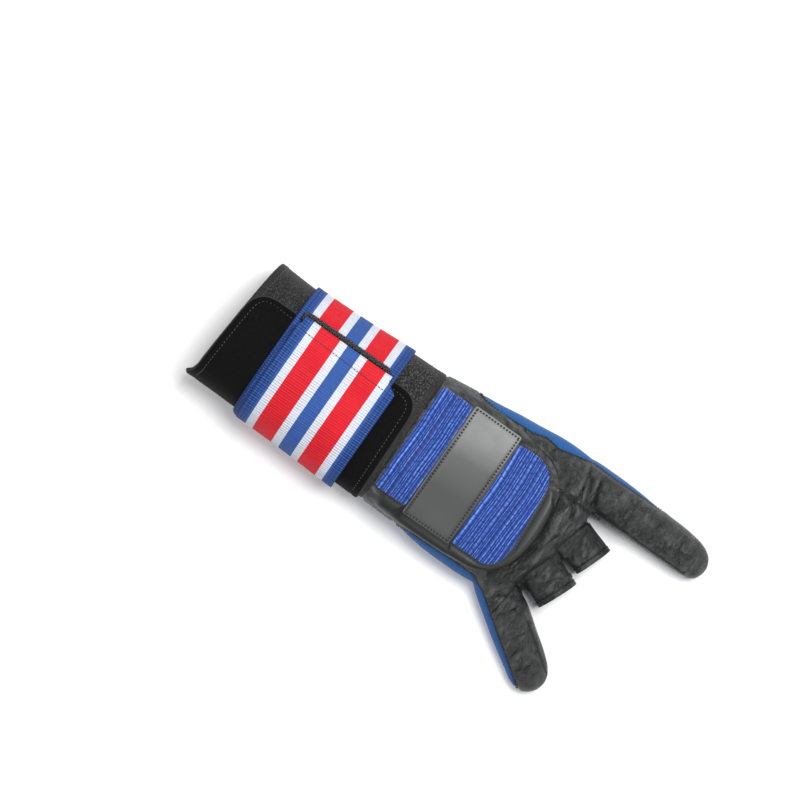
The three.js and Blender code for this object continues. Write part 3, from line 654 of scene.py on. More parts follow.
def leather_finish():
    """Creased leather: pebbled grain, streaky tone with painted satin highlights, soft patches of painted
    highlight, crisp wrinkles with painted shade in them, painted highlights on the crease ridges and painted
    shade in the crease valleys, painted shade on the sides that turn down, dark seams.
    """
    base = tuple(colours().leather)
    made = Finish("black_leather", 0.4, Specular_IOR_Level=0.5, Coat_Weight=0.08, Coat_Roughness=0.3)
    patches = made.noise(55, 4, 0.6)
    streaks = made.noise(170, 5, 0.7, made.stretched((1.0, 0.42, 0.8)), 0.6)
    fine = made.noise(620, 5, 0.72, made.stretched((1.0, 0.5, 1.0)), 0.4)
    line = made.noise(120, 4, 0.6, made.stretched((1.0, 0.3, 0.6)), 1.2)
    off = made.maths("ABSOLUTE", made.maths("SUBTRACT", line, 0.5))
    wrinkle = made.times(made.span(off, 0.0, 0.05, 1, 0), made.span(patches, 0.4, 0.55, 0, 1))
    # Streaky tone that differs at random; its light end is partly a painted satin highlight on the raised
    # streaks
    worn = made.times(made.maths("ADD", patches, fine), streaks)
    tones = made.ramp(worn, ((0.36, scaled(base, 0.3)), (0.5, scaled(base, 0.92)), (0.66, scaled(base, 2.8))))
    grain = made.cells(1500)
    tones = made.mix(0.35, tones, made.ramp(grain, ((0.0, scaled(base, 0.4)), (0.25, base))))
    # Painted highlight in soft patches
    tones = made.mix(made.span(patches, 0.48, 0.66, 0, 0.45), tones, scaled(base, 2.3))
    fold = made.attribute("fold")
    # Painted highlight on the crease ridges and painted shade in the crease valleys, taken from the crease
    # height
    tones = made.mix(made.span(fold, 0.1, 1.3, 0, 0.75), tones, scaled(base, 2.6))
    tones = made.mix(made.span(fold, -0.25, -1.5, 0, 0.85), tones, scaled(base, 0.12))
    # Painted shade in the wrinkle creases
    tones = made.mix(made.times(wrinkle, 0.95), tones, scaled(base, 0.15))
    # Painted shade on the sides that turn away from above, from the tilt of the surface
    tones = made.mix(made.span(made.attribute("tilt"), 0.35, 0.9, 0, 0.75), tones, scaled(base, 0.15))
    made.colour(made.mix(made.span(made.attribute("seam"), 0.3, 0.8, 0, 0.95), tones, (0.001, 0.001, 0.001)))
    made.rough(made.span(streaks, 0.3, 0.7, 0.27, 0.5))
    made.raise_by(streaks, 0.003, 0.9)
    made.raise_by(fine, 0.0014, 0.9)
    made.raise_by(wrinkle, -0.0009, 0.9)
    made.raise_by(made.ramp(grain, ((0.0, (0, 0, 0)), (0.22, (1, 1, 1)))), 0.00016, 0.6)
    return made.material


def smooth_leather_finish():
    """The padded frame's smooth satin leather with a fine grain."""
    base = tuple(colours().leather)
    made = Finish("smooth_leather", 0.46, Specular_IOR_Level=0.35, Coat_Weight=0.03, Coat_Roughness=0.4)
    soft = made.noise(28, 3, 0.5)
    tones = made.ramp(soft, ((0.35, scaled(base, 0.85)), (0.7, scaled(base, 1.35))))
    creased = made.noise(190, 5, 0.68, made.stretched((0.5, 1.0, 1.0), 0.3), 0.8)
    # Lighter on the crease tops and darker in their hollows, following the crease bumps: painted highlight and
    # painted shade
    rough = made.ramp(creased, ((0.36, scaled(base, 0.3)), (0.5, base), (0.66, scaled(base, 2.6))))
    slack = made.attribute("slack")
    side = made.along("Y")
    # Painted shade: darker towards the pinky side
    tones = made.mix(made.span(side, -0.018, -0.036, 0, 0.9), tones, scaled(base, 0.3))
    tones = made.mix(slack, tones, rough)
    # Painted shade on the frame's slopes, where its surface leans away from the hand's back
    made.colour(made.mix(made.span(made.attribute("lean"), 0.02, 0.25, 0, 0.85), tones, scaled(base, 0.1)))
    made.raise_by(made.times(creased, slack), 0.003, 0.9)
    made.rough(made.span(made.noise(160, 4), 0.3, 0.7, 0.4, 0.55))
    made.raise_by(made.noise(70, 3), 0.0005, 0.25)
    made.raise_by(made.cells(2100), 0.00008, 0.35)
    return made.material


def knit_finish():
    """Blue stretch knit: columns of fine loops along the hand."""
    base = tuple(colours().fabric)
    made = Finish("stretch_fabric", 0.75, Sheen_Weight=0.08, Sheen_Roughness=0.45, Specular_IOR_Level=0.25)
    side = made.along("Y")
    girth = made.maths("SUBTRACT", made.maths("ABSOLUTE", side), made.along("Z"))
    columns = made.span(made.maths("SINE", made.times(girth, 6200.0)), -1, 1, 0, 1)
    courses = made.span(made.maths("SINE", made.times(made.along("X"), 8400.0)), -1, 1, 0, 1)
    loops = made.times(columns, courses)
    tone = made.mix(made.noise(40, 3), scaled(base, 0.82), scaled(base, 1.2))
    # Painted shade: darker, deeper blue towards the pinky side
    tone = made.mix(made.span(side, 0.0, -0.045, 0, 1), tone, (0.006, 0.07, 0.33))
    made.colour(made.mix(loops, scaled(base, 0.62), tone))
    made.raise_by(loops, 0.00022, 0.6)
    made.raise_by(made.noise(25, 2), 0.0006, 0.3)
    return made.material


def elastic_finish():
    """Ribbed elastic: a light thread with a painted highlight on each rib's crest, painted shade in the valleys
    between the ribs, the thread broken by painted shade where the rubber gathers it.
    """
    made = Finish("ribbed_elastic", 0.6, Sheen_Weight=0.15, Specular_IOR_Level=0.35)
    rib = made.attribute("rib")
    gather = made.attribute("gather")
    threads = made.noise(800, 3, 0.6, made.stretched((1.0, 0.05, 1.0)))
    base = tuple(colours().elastic)
    row = made.attribute("row")
    body = made.mix(made.span(row, 0, 1, 0, 1), scaled(base, 0.7), scaled(base, 1.2))
    # Painted shade in the valleys between the ribs
    body = made.mix(made.span(rib, 0.0, 0.5, 0, 1), scaled(base, 0.33), body)
    # A light thread along each rib's crest, with a painted highlight on it
    lit = made.times(made.span(rib, 0.72, 0.97, 0, 1), made.span(threads, 0.38, 0.6, 0.25, 1))
    lit = made.times(lit, made.span(row, 0.1, 0.9, 0.35, 1))
    bright = made.mix(lit, body, (0.17, 0.36, 0.86))
    patchy = made.span(made.noise(170, 3), 0.35, 0.6, 0.3, 1)
    # Painted shade in the tucks where the rubber gathers the ribs
    pinch = made.times(made.span(gather, 0.15, 0.85, 0, 0.8), patchy)
    made.colour(made.mix(pinch, bright, scaled(base, 0.35)))
    made.raise_by(threads, 0.0003, 0.5)
    return made.material


def label_finish():
    """Bare satin patch with a painted reflection of the lamps, lightest towards the thumb side, and a painted
    highlight along its rim.
    """
    made = Finish("label_patch", 0.5, Specular_IOR_Level=0.4)
    # Painted reflection of the lamps across the patch, lightest at the thumb side and a little light at the
    # pinky end
    across = made.along("Y")
    soft = made.maths("ADD", across, made.times(made.noise(30, 2), 0.008))
    stops = (
        (0.0, (0.085, 0.087, 0.087)), (0.3, (0.05, 0.051, 0.051)),
        (0.6, (0.065, 0.067, 0.067)), (0.95, (0.26, 0.265, 0.263)),
    )
    tone = made.ramp(made.span(soft, -0.035, 0.038, 0, 1), stops)
    tone = made.mix(made.span(made.noise(90, 4), 0.3, 0.7, 0, 0.25), tone, (0.06, 0.061, 0.062))
    # Painted highlight along the patch's rounded rim
    made.colour(made.mix(made.span(made.attribute("edge"), 0.35, 0.6, 0.5, 0), tone, (0.25, 0.25, 0.245)))
    made.raise_by(made.noise(700, 3), 0.00008, 0.4)
    made.raise_by(made.noise(35, 2), 0.0005, 0.25)
    return made.material


def cuff_finish():
    """Charcoal loop fabric: fine crossing cords inside a plain border."""
    made = Finish("grained_cuff", 0.8, Sheen_Weight=0.05, Specular_IOR_Level=0.3)
    cords = [
        made.noise(1200, 2, 0.5, made.stretched((1.0, 0.42, 1.0), math.radians(angle)), 0.2)
        for angle in (28, -40)
    ]
    rows = made.bands(made.place, 190, 0.6)
    strokes = made.mix(made.span(rows, 0.4, 0.6, 0, 1), *cords)
    mottle = made.noise(260, 4, 0.7)
    mask = made.attribute("stipple")
    stops = ((0.42, (0.005, 0.005, 0.0052)), (0.52, (0.021, 0.0214, 0.022)), (0.66, (0.078, 0.079, 0.081)))
    rough = made.ramp(strokes, stops)
    rough = made.mix(made.span(mottle, 0.35, 0.6, 0.12, 0), rough, (0.008, 0.008, 0.0085))
    plain = made.ramp(made.noise(700, 4, 0.7), ((0.35, (0.008, 0.008, 0.0085)), (0.65, (0.03, 0.0305, 0.031))))
    along = made.along("X")
    # Painted shade: the cuff darkens towards its far end
    dim = made.span(along, -0.13, -0.03, 0.45, 0)
    made.colour(made.mix(dim, made.mix(mask, plain, rough), (0.01, 0.01, 0.0105)))
    made.raise_by(made.times(strokes, mask), 0.0009, 0.8)
    made.raise_by(mottle, 0.0005, 0.5)
    return made.material


def velour_finish():
    """Near-black velour with a faint nap."""
    made = Finish("flap_velour", 0.95, Sheen_Weight=0.06, Sheen_Roughness=0.35, Specular_IOR_Level=0.1)
    nap = made.noise(1400, 3, 0.6)
    brushed = made.noise(35, 3, 0.5, made.stretched((1, 0.4, 1)))
    tone = made.mix(brushed, (0.002, 0.002, 0.0022), (0.0046, 0.0046, 0.0048))
    tone = made.mix(made.span(nap, 0.45, 0.75, 0, 0.5), tone, (0.011, 0.011, 0.012))
    # Lighter binding along the rolled rim, with a painted highlight on it
    made.colour(made.mix(made.span(made.attribute("rim"), 0.5, 1.1, 0.8, 0), tone, (0.05, 0.05, 0.052)))
    made.raise_by(nap, 0.00015, 0.5)
    return made.material


def webbing_finish():
    """Striped webbing: colours across its width, ribs across its length."""
    made = Finish("striped_webbing", 0.72, Sheen_Weight=0.03, Specular_IOR_Level=0.2)
    across = made.attribute("across")
    edge = made.times(made.maths("SUBTRACT", made.noise(900, 2), 0.5), 0.004)
    place = made.maths("ADD", across, edge)
    tones = {name: tuple(getattr(colours(), name)) for name in ("red", "blue", "white")}
    starts = [0.0] + [stop for stop, _ in STRIPES[:-1]]
    stops = [(start, tones[name]) for start, (_, name) in zip(starts, STRIPES)]
    stripes = made.ramp(place, stops, "CONSTANT")
    rib = made.attribute("rib")
    threads = made.noise(1500, 2, 0.5, made.stretched((1.0, 0.3, 0.3)))
    uneven = made.span(made.noise(60, 3), 0.35, 0.65, 0.35, 1)
    side = made.along("Y")
    uneven = made.times(uneven, made.span(side, 0.025, -0.03, 0.55, 1.35))
    # Painted shade in the valleys between the cross ribs, deeper towards negative Y
    valley = made.times(made.span(rib, 0.0, 0.5, 1, 0), uneven)
    shade = made.mix(valley, stripes, (0.46, 0.46, 0.52), "MULTIPLY")
    shade = made.mix(made.span(threads, 0.35, 0.6, 0.3, 0), shade, (0.7, 0.7, 0.74), "MULTIPLY")
    rim = made.maths("MINIMUM", across, made.maths("SUBTRACT", 1.0, across))
    ticks = made.times(made.span(rim, 0.06, 0.095, 1, 0), made.span(rib, 0.15, 0.8, 1, 0))
    ticks = made.times(ticks, made.span(threads, 0.3, 0.6, 0.3, 1))
    shade = made.mix(ticks, shade, (0.2, 0.27, 0.4), "MULTIPLY")
    warps = made.span(made.maths("SINE", made.times(across, 190.0)), -0.1, 0.8, 0, 0.75)
    warps = made.times(warps, made.span(rim, 0.06, 0.095, 1, 0))
    shade = made.mix(warps, shade, (0.42, 0.5, 0.62), "MULTIPLY")
    # Painted shade along the webbing's edges, for the dark gaps between the plies
    made.colour(made.mix(made.span(rim, 0.0, 0.01, 0.85, 0), shade, (0.006, 0.012, 0.05)))
    made.raise_by(threads, 0.00016, 0.5)
    return made.material


def wire_finish():
    """Black coated wire in a braided sleeve."""
    made = Finish("coated_wire", 0.5, Specular_IOR_Level=0.45)
    turns = [made.stretched((1, 1, 1), math.radians(angle)) for angle in (38, -38)]
    wrap = made.times(*(made.bands(turn, 230, 1.5) for turn in turns))
    made.colour(made.mix(made.span(wrap, 0.25, 0.8, 0, 1), (0.003, 0.003, 0.003), (0.06, 0.06, 0.06)))
    made.raise_by(wrap, 0.0004, 0.8)
    return made.material


def thread_finish(name, colour):
    """Sewing thread with a twist."""
    made = Finish(name, 0.6, Sheen_Weight=0.2)
    twist = made.noise(2600, 2)
    made.colour(made.mix(twist, scaled(colour, 0.6), scaled(colour, 1.3)))
    made.raise_by(twist, 0.0001, 0.5)
    return made.material


def raw_body():
    """The hand and fingers as one organic skin, from overlapping lofts made one by remeshing."""
    angle = np.linspace(0, 2 * np.pi, HAND_ROUND, endpoint=False)
    hand_place = {"x": 0, "y": 0, "angle": 0, "length": HAND_LENGTH, "width": HAND_WIDTH, "height": HAND_HEIGHT}
    neck = cuff_section_rings(np.array([NECK_START, CUFF_EDGE + 0.5]), angle, -CUFF_WALL - 2 * GAP)
    us = np.linspace(HAND_ROWS[0][0], HAND_ROWS[-1][0], HAND_ALONG)
    hand = limb_rings(HAND_ROWS, hand_place, us, angle)
    start = cuff_section_rings(np.array([CUFF_EDGE + 1.4]), angle, -0.4)
    lofts = [tube(np.vstack([neck, start, hand]))]
    angle = np.linspace(0, 2 * np.pi, FINGER_ROUND, endpoint=False)
    for table, place in ((INDEX_ROWS, INDEX), (LITTLE_ROWS, LITTLE), (MIDDLE_ROWS, MIDDLE), (RING_ROWS, RING)):
        us = np.linspace(table[0][0], table[-1][0], FINGER_ALONG)
        lofts.append(tube(limb_rings(table, place, us, angle)))
    points = np.vstack([p for p, _ in lofts])
    starts = np.cumsum([0] + [len(p) for p, _ in lofts[:-1]])
    tris = np.vstack([t + s for (_, t), s in zip(lofts, starts)])
    mesh = bpy.data.meshes.new("body_draft")
    mesh.from_pydata((points * MM).tolist(), [], tris.tolist())
    draft = placed("body_draft", mesh)
    remesh = draft.modifiers.new("skin", "REMESH")
    remesh.mode = "VOXEL"
    remesh.voxel_size = sizes().voxel
    done = bpy.data.meshes.new_from_object(draft.evaluated_get(bpy.context.evaluated_depsgraph_get()))
    done.calc_loop_triangles()
    points = np.zeros(len(done.vertices) * 3, np.float32)
    tris = np.zeros(len(done.loop_triangles) * 3, np.int32)
    done.vertices.foreach_get("co", points)
    done.loop_triangles.foreach_get("vertices", tris)
    bpy.data.objects.remove(draft)
    bpy.data.meshes.remove(done)
    points = points.reshape(-1, 3).astype(float) / MM
    return relax(points, tris.reshape(-1, 3), 6), tris.reshape(-1, 3)


def crease_height(points):
    """How far the leather's creases push each point in or out."""
    total = np.zeros(len(points))
    for x0, y0, x1, y1, depth, width in CREASES:
        a, d = np.array([x0, y0]), np.array([x1 - x0, y1 - y0])
        size = np.hypot(*d)
        local = points[:, :2] - a
        t = (local @ d) / size**2
        bend = 0.9 * np.sin(3.1 * t + x0)
        off = (local @ np.array([-d[1], d[0]])) / size - bend
        fade = np.clip(np.minimum(t + 0.12, 1.12 - t) / 0.3, 0, 1)
        total -= 1.75 * depth * np.exp(-(np.abs(off / (0.8 * width)) ** 1.5)) * eased(fade)
    return total


def limb_local(points, place):
    """Places along and across a finger, in plan."""
    turn = math.radians(place["angle"])
    d = points[:, :2] - np.array([place["x"], place["y"]])
    return d @ np.array([math.cos(turn), math.sin(turn)]), d @ np.array([-math.sin(turn), math.cos(turn)])


def box_field(points, place, low_u, low_v, high_v):
    """Above zero past a cross seam of a finger and between its sides."""
    u, v = limb_local(points, place)
    return np.minimum.reduce([u - low_u, v - low_v, high_v - v])


# Each panel's field is above zero on the panel, in millimetres from its border


def middle_field(points):
    return box_field(points, MIDDLE, -0.4, -12.3, 16.0)


def ring_field(points):
    return np.minimum(box_field(points, RING, 0.4, -15.6, 14.3), -middle_field(points))


def back_field(points):
    """The leather of the whole back, above a line on the glove's sides."""
    reach = np.clip((points[:, 0] - 92) / 14, 0, 1)
    drop = BACK_DROP - 8 * eased(reach)
    return np.minimum(plan_distance(points, BACK_PLAN), points[:, 2] - drop)


def index_field(points):
    return plan_distance(points, INDEX_PLAN)


def little_field(points):
    """The little finger's back, past a slanting seam at its root."""
    u, v = limb_local(points, LITTLE)
    line = (u + 18.9) + (v - 16.1) * 0.55
    return np.minimum(line, 16.1 - v)


def thumb_field(points):
    """Below zero inside the thumb's hole."""
    dx = (points[:, 0] - THUMB_HOLE["x"]) / (THUMB_HOLE["length"] / 2)
    dz = (points[:, 2] - THUMB_HOLE["z"]) / (THUMB_HOLE["height"] / 2)
    ring = (np.hypot(dx, dz) - 1) * 10
    return np.where(points[:, 1] > 20, ring, 50.0)


def sleeve_end_field(points):
    """Below zero past the open ends of the two short sleeves."""
    result = np.full(len(points), FAR_AWAY)
    for place in (MIDDLE, RING):
        u, v = limb_local(points, place)
        end = place["length"] - u + 0.05 * v
        near = (np.abs(v) < SLEEVE_HALF) & (u > 8)
        result = np.where(near, np.minimum(result, end), result)
    return result


def on_side_seam(u, place):
    """Whether places along a whole finger have its side seam."""
    return (u > 5) & (u < 0.88 * place["length"])


def seam_distance(points):
    """How far points are from the nearest border between panels."""
    fields = (back_field, index_field, little_field, middle_field, ring_field)
    owners = [np.abs(field(points)) for field in fields]
    inside = back_field(points) > -1
    owners[1:3] = [np.where(inside, d, FAR_AWAY) for d in owners[1:3]]
    for place, side in SIDE_SEAMS:
        u, v = limb_local(points, place)
        seen = on_side_seam(u, place) & (points[:, 2] > 8)
        owners.append(np.where(seen, np.abs(v - side), FAR_AWAY))
    return np.minimum.reduce(owners)


BODY = {}


def glove_body():
    """The body's skin with its creases and seam valleys, cut open, made once."""
    if BODY:
        return BODY["points"], BODY["tris"]
    points, tris = raw_body()
    points[:, 2] = np.where(points[:, 2] < 0.25, 0.0, points[:, 2])
    up = np.clip(normals(points, tris)[:, 2] * 1.6 + 0.2, 0, 1)
    out = normals(points, tris)
    height = crease_height(points) * up
    height += 0.16 * wave(points * [1, 0.5, 1], 5.0, 2.0) * up * np.clip((points[:, 0] - 60) / 30, 0, 1)
    valley = np.exp(-((seam_distance(points) / SEAM_WIDTH) ** 2))
    height -= SEAM_DEPTH * valley * np.clip(points[:, 2] - 1, 0, 1)
    hem = sleeve_end_field(points)
    height += HEM_RISE * np.clip((SLEEVE_HEM - hem) / 0.8, 0, 1)
    height -= HEM_DEPTH * np.exp(-(((hem - SLEEVE_HEM) / HEM_WIDTH) ** 2))
    points = points + out * height[:, None]
    points[:, 2] = np.maximum(points[:, 2], 0)
    for field in (lambda p: p[:, 0] - NECK_END, sleeve_end_field, thumb_field):
        points, tris = keep(points, tris, field)
    BODY["points"], BODY["tris"] = points, tris
    return points, tris


def cuff_section_rings(xs, angle, lift=0.0):
    """Rings of the cuff's outline at places along X."""
    along = (CUFF_EDGE - xs) / CUFF_LENGTH
    low, high, base, top = smooth_table(CUFF_ROWS, along).T
    v, z = section(low * CUFF_WIDTH, high * CUFF_WIDTH, base * 0 + CUFF_BASE, top * CUFF_HEIGHT, angle)
    v, z = lifted(v, z, lift)
    return np.stack([xs[:, None] + 0 * v, v, z], -1)


class CuffSurface:
    """The cuff's outside by place along X and share of its girth, from the top of its back."""

    STEP, SHARES = 2.0, 720

    def __init__(self):
        self.xs = np.arange(-136.0, -2.0, self.STEP)
        angle = np.linspace(0, 2 * np.pi, 1440, endpoint=False)[::-1] + np.pi / 2
        bare = cuff_section_rings(self.xs, angle)
        grown = cuff_section_rings(self.xs, angle, -1.0)
        out = grown - bare
        start = np.abs(bare[0, :, 1]).argmin() if bare[0, 0, 2] > 40 else 0
        bare, out = np.roll(bare, -start, 1), np.roll(out, -start, 1)
        step = np.linalg.norm(np.diff(np.concatenate([bare, bare[:, :1]], 1), axis=1), axis=2)
        self.share = np.linspace(0, 1, self.SHARES + 1)
        self.table = np.zeros((len(self.xs), self.SHARES + 1, 4))
        self.girth = step.sum(1)
        for i in range(len(self.xs)):
            run = np.concatenate([[0], np.cumsum(step[i])]) / step[i].sum()
            for k, values in enumerate((bare[i, :, 1], bare[i, :, 2], out[i, :, 1], out[i, :, 2])):
                self.table[i, :, k] = np.interp(self.share, run, np.append(values, values[0]))

    def at(self, x, share):
        """Y, Z and the outward direction at places along X and shares of the girth."""
        i = np.clip((x - self.xs[0]) / self.STEP, 0, len(self.xs) - 1.001)
        k = np.mod(share, 1.0) * self.SHARES
        i0, k0 = i.astype(int), np.minimum(k.astype(int), self.SHARES - 1)
        past_i, past_k = (i - i0)[..., None], (k - k0)[..., None]
        near, far = (
            self.table[row, k0] * (1 - past_k) + self.table[row, k0 + 1] * past_k for row in (i0, i0 + 1)
        )
        return near * (1 - past_i) + far * past_i

    def point(self, x, share, lift):
        """Points over places along X and shares of the girth, lifted off the surface."""
        y, z, out_y, out_z = np.moveaxis(self.at(x, share), -1, 0)
        return np.stack([x + 0 * y, y + lift * out_y, z + lift * out_z], -1)

    def share_at(self, x, y, lift=0.0):
        """The share of the girth, on the back, where the lifted surface has that Y."""
        shares = np.linspace(-0.24, 0.24, 400)
        ys = self.point(np.full(400, float(x)), shares, lift)[:, 1]
        order = np.argsort(ys)
        return float(np.interp(y, ys[order], shares[order]))


def hand_top(x, y, lift=0.0):
    """A point on the back of the hand over a place in plan, and its outward direction."""
    x, y = np.asarray(x, float), np.asarray(y, float)

    def height(px, py):
        low, high, _, top = smooth_table(HAND_ROWS, px.ravel() / HAND_LENGTH).T
        low, high, top = (a.reshape(px.shape) for a in (low * HAND_WIDTH, high * HAND_WIDTH, top * HAND_HEIGHT))
        belly = BELLY * top
        share = np.clip(np.abs(py - (low + high) / 2) / ((high - low) / 2), 0, 0.995)
        return belly + (top - belly) * (1 - share**ROUNDNESS) ** (1 / ROUNDNESS)

    e = 0.2
    z = height(x, y)
    dx = (height(x + e, y) - height(x - e, y)) / (2 * e)
    dy = (height(x, y + e) - height(x, y - e)) / (2 * e)
    out = np.stack([-dx, -dy, np.ones_like(dx)], -1)
    out /= np.linalg.norm(out, axis=-1, keepdims=True)
    return np.stack([x, y, z], -1) + np.asarray(lift)[..., None] * out, out


def run_of(line):
    """How far along a flat line each of its points is."""
    return np.concatenate([[0], np.cumsum(np.hypot(*np.diff(line, axis=0).T))])


def even_loop(corners, count=0, step=0.5):
    """Points spaced evenly round an outline, and how far along it each one is."""
    loop = np.vstack([corners, corners[:1]])
    run = run_of(loop)
    at = np.linspace(0, run[-1], count or int(run[-1] / step), endpoint=False)
    return np.stack([np.interp(at, run, loop[:, k]) for k in (0, 1)], 1), at


def plan_area(corners):
    """The area inside an outline, below zero where it runs clockwise."""
    x, y = np.array(corners, float).T
    return np.sum(x * np.roll(y, -1) - y * np.roll(x, -1)) / 2


def back_patch(plan, step_x, step_y):
    """A fine patch of plan points inside an outline."""
    corners = np.array(plan, float)
    x = np.arange(corners[:, 0].min() - step_x, corners[:, 0].max() + 2 * step_x, step_x)
    y = np.arange(corners[:, 1].min() - step_y, corners[:, 1].max() + 2 * step_y, step_y)
    grid = np.stack([*np.meshgrid(x, y, indexing="ij"), np.zeros((len(x), len(y)))], -1)
    return keep(grid.reshape(-1, 3), sheet_of(grid), lambda p: plan_distance(p, plan))


def rounded_plan(plan, radius, steps=5):
    """An outline with its corners turned into arcs."""
    corners = np.array(plan, float)
    result = []
    for before, here, after in zip(np.roll(corners, 1, 0), corners, np.roll(corners, -1, 0)):
        back, ahead = before - here, after - here
        reach = min(radius, np.hypot(*back) / 2.2, np.hypot(*ahead) / 2.2)
        a = here + back / np.hypot(*back) * reach
        b = here + ahead / np.hypot(*ahead) * reach
        for t in np.linspace(0, 1, steps):
            result.append((1 - t) ** 2 * a + 2 * t * (1 - t) * here + t**2 * b)
    return np.array(result)


def inset_plan(plan, distance):
    """An outline moved inwards, sampled along its length."""
    dense, _ = even_loop(np.array(plan, float))
    ahead = np.roll(dense, -2, 0) - np.roll(dense, 2, 0)
    ahead /= np.hypot(*ahead.T)[:, None]
    return dense + distance * np.sign(plan_area(dense)) * np.stack([-ahead[:, 1], ahead[:, 0]], 1)


def patch_piece(name, plan, steps, lift, material, attributes):
    """A layer sewn on the back of the hand, whose upper side is lifted by a function."""
    points, tris = back_patch(plan, *steps)
    edge = plan_distance(points, plan)
    base, out = hand_top(points[:, 0], points[:, 1], 0.15)
    outer = base + out * lift(points, edge)[:, None]
    both, faces = shell(outer, base, tris)
    layers = {key: np.tile(value(points, edge), 2) for key, value in attributes.items()}
    return new_piece(name, both, faces, material, layers)


def stitch_tree():
    """Geometry nodes that lay stitches along lines of points, each turned to the surface."""
    tree = bpy.data.node_groups.new("Stitches", "GeometryNodeTree")
    floats = [(name, "Float") for name in ("Pitch", "Length", "Thickness", "Slant")]
    for name, kind in (("Geometry", "Geometry"), *floats, ("Material", "Material")):
        tree.interface.new_socket(name, in_out="INPUT", socket_type="NodeSocket" + kind)
    tree.interface.new_socket("Geometry", in_out="OUTPUT", socket_type="NodeSocketGeometry")

    def add(kind, inputs=None, **settings):
        return new_node(tree, kind, inputs, **settings).outputs

    source = add("NodeGroupInput")
    curve = add("GeometryNodeMeshToCurve", {"Mesh": source["Geometry"]})[0]
    spaced = add("GeometryNodeResampleCurve", {"Curve": curve, "Length": source["Pitch"]}, mode="LENGTH")[0]
    tangent = add("GeometryNodeInputTangent")[0]
    along = add("FunctionNodeAlignRotationToVector", {"Vector": tangent}, axis="X")[0]
    up = add("GeometryNodeInputNamedAttribute", {"Name": "up"}, data_type="FLOAT_VECTOR")["Attribute"]
    facing = {"Rotation": along, "Vector": up}
    upright = add("FunctionNodeAlignRotationToVector", facing, axis="Z", pivot_axis="X")[0]
    slant = add("ShaderNodeCombineXYZ", {"Z": source["Slant"]})[0]
    turn = {"Rotation": upright, "Rotate By": slant}
    turned = add("FunctionNodeRotateRotation", turn, rotation_space="LOCAL")[0]
    ball = add("GeometryNodeMeshUVSphere", {"Segments": 6, "Rings": 5, "Radius": 0.5})["Mesh"]
    size = add(
        "ShaderNodeCombineXYZ", {"X": source["Length"], "Y": source["Thickness"], "Z": source["Thickness"]}
    )[0]
    stitch = {"Points": spaced, "Instance": ball, "Rotation": turned, "Scale": size}
    laid = add("GeometryNodeInstanceOnPoints", stitch)[0]
    real = add("GeometryNodeRealizeInstances", {0: laid})[0]
    shade = add("GeometryNodeSetShadeSmooth", {0: real})[0]
    painted = add("GeometryNodeSetMaterial", {"Geometry": shade, "Material": source["Material"]})[0]
    add("NodeGroupOutput", {0: painted})
    return tree


def sew(name, lines, material):
    """Stitches along lines: for each its points and directions in millimetres, and whether it closes."""
    slot, pitch, length, thickness, slant = STITCHES[name]
    points, edges, ups = [], [], []
    for line, up, closed in (line for line in lines if len(line[0]) > SHORTEST_LINE):
        start = sum(len(p) for p in points)
        count = len(line)
        points.append(line)
        ups.append(up)
        ends = count if closed else count - 1
        edges += [(start + i, start + (i + 1) % count) for i in range(ends)]
    mesh = bpy.data.meshes.new(name)
    mesh.from_pydata((np.vstack(points) * MM).tolist(), edges, [])
    layer = mesh.attributes.new("up", "FLOAT_VECTOR", "POINT")
    layer.data.foreach_set("vector", np.vstack(ups).astype(np.float32).ravel())
    guide = placed(name + "_guide", mesh)
    tree = bpy.data.node_groups.get("Stitches") or stitch_tree()
    modifier = guide.modifiers.new("stitches", "NODES")
    modifier.node_group = tree
    values = {
        "Pitch": pitch or sizes().stitch_pitch,
        "Length": length,
        "Thickness": thickness,
        "Slant": math.radians(slant),
        "Material": material,
    }
    for item in tree.interface.items_tree:
        if item.in_out == "INPUT" and item.name in values:
            modifier[item.identifier] = values[item.name]
    done = bpy.data.meshes.new_from_object(guide.evaluated_get(bpy.context.evaluated_depsgraph_get()))
    bpy.data.objects.remove(guide)
    done.name = name
    piece = placed(name, done)
    if not done.polygons:
        raise RuntimeError(name + " has no stitches")
    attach(piece, "root")
    return piece


def contour(points, tris, field, level):
    """Lines on a surface where a field has a level: arrays of points and of directions."""
    f = field(points) - level
    f = np.where(np.abs(f) < 1e-5, 1e-5, f)
    _, _, _, edges, sides, share = crossings(f, tris)
    where, facing = (between(values, edges, share) for values in (points, normals(points, tris)))
    next_to = {}
    for p, q in zip(*sides):
        next_to.setdefault(p, []).append(q)
        next_to.setdefault(q, []).append(p)
    lines, seen = [], set()
    for start in sorted(next_to, key=lambda k: (len(next_to[k]) != 1, k)):
        if start in seen:
            continue
        chain, ahead = [], [start]
        while ahead:
            chain.append(ahead[0])
            seen.add(ahead[0])
            ahead = [k for k in next_to[ahead[0]] if k not in seen]
        if len(chain) > 12:
            lines.append((where[chain], facing[chain], len(next_to[start]) == 2))
    return lines


def smooth_line(line, up, closed, times=8):
    """Evens out the corners of a line."""
    for _ in range(times):
        before, after = np.roll(line, 1, 0), np.roll(line, -1, 0)
        if not closed:
            before[0], after[-1] = line[0], line[-1]
        line = 0.5 * line + 0.25 * (before + after)
    return line, up, closed


def smooth_contours(field, level):
    """Even lines on the glove's skin where a field has a level."""
    return [smooth_line(*line) for line in contour(*glove_body(), field, level)]


def clip_line(line, up, mask):
    """The longest run of a line where a mask holds."""
    best, run = [], []
    for i, good in enumerate(mask):
        if good:
            run.append(i)
        if (not good or i == len(mask) - 1) and run:
            best = max(best, run, key=len)
            run = []
    return line[best], up[best], False


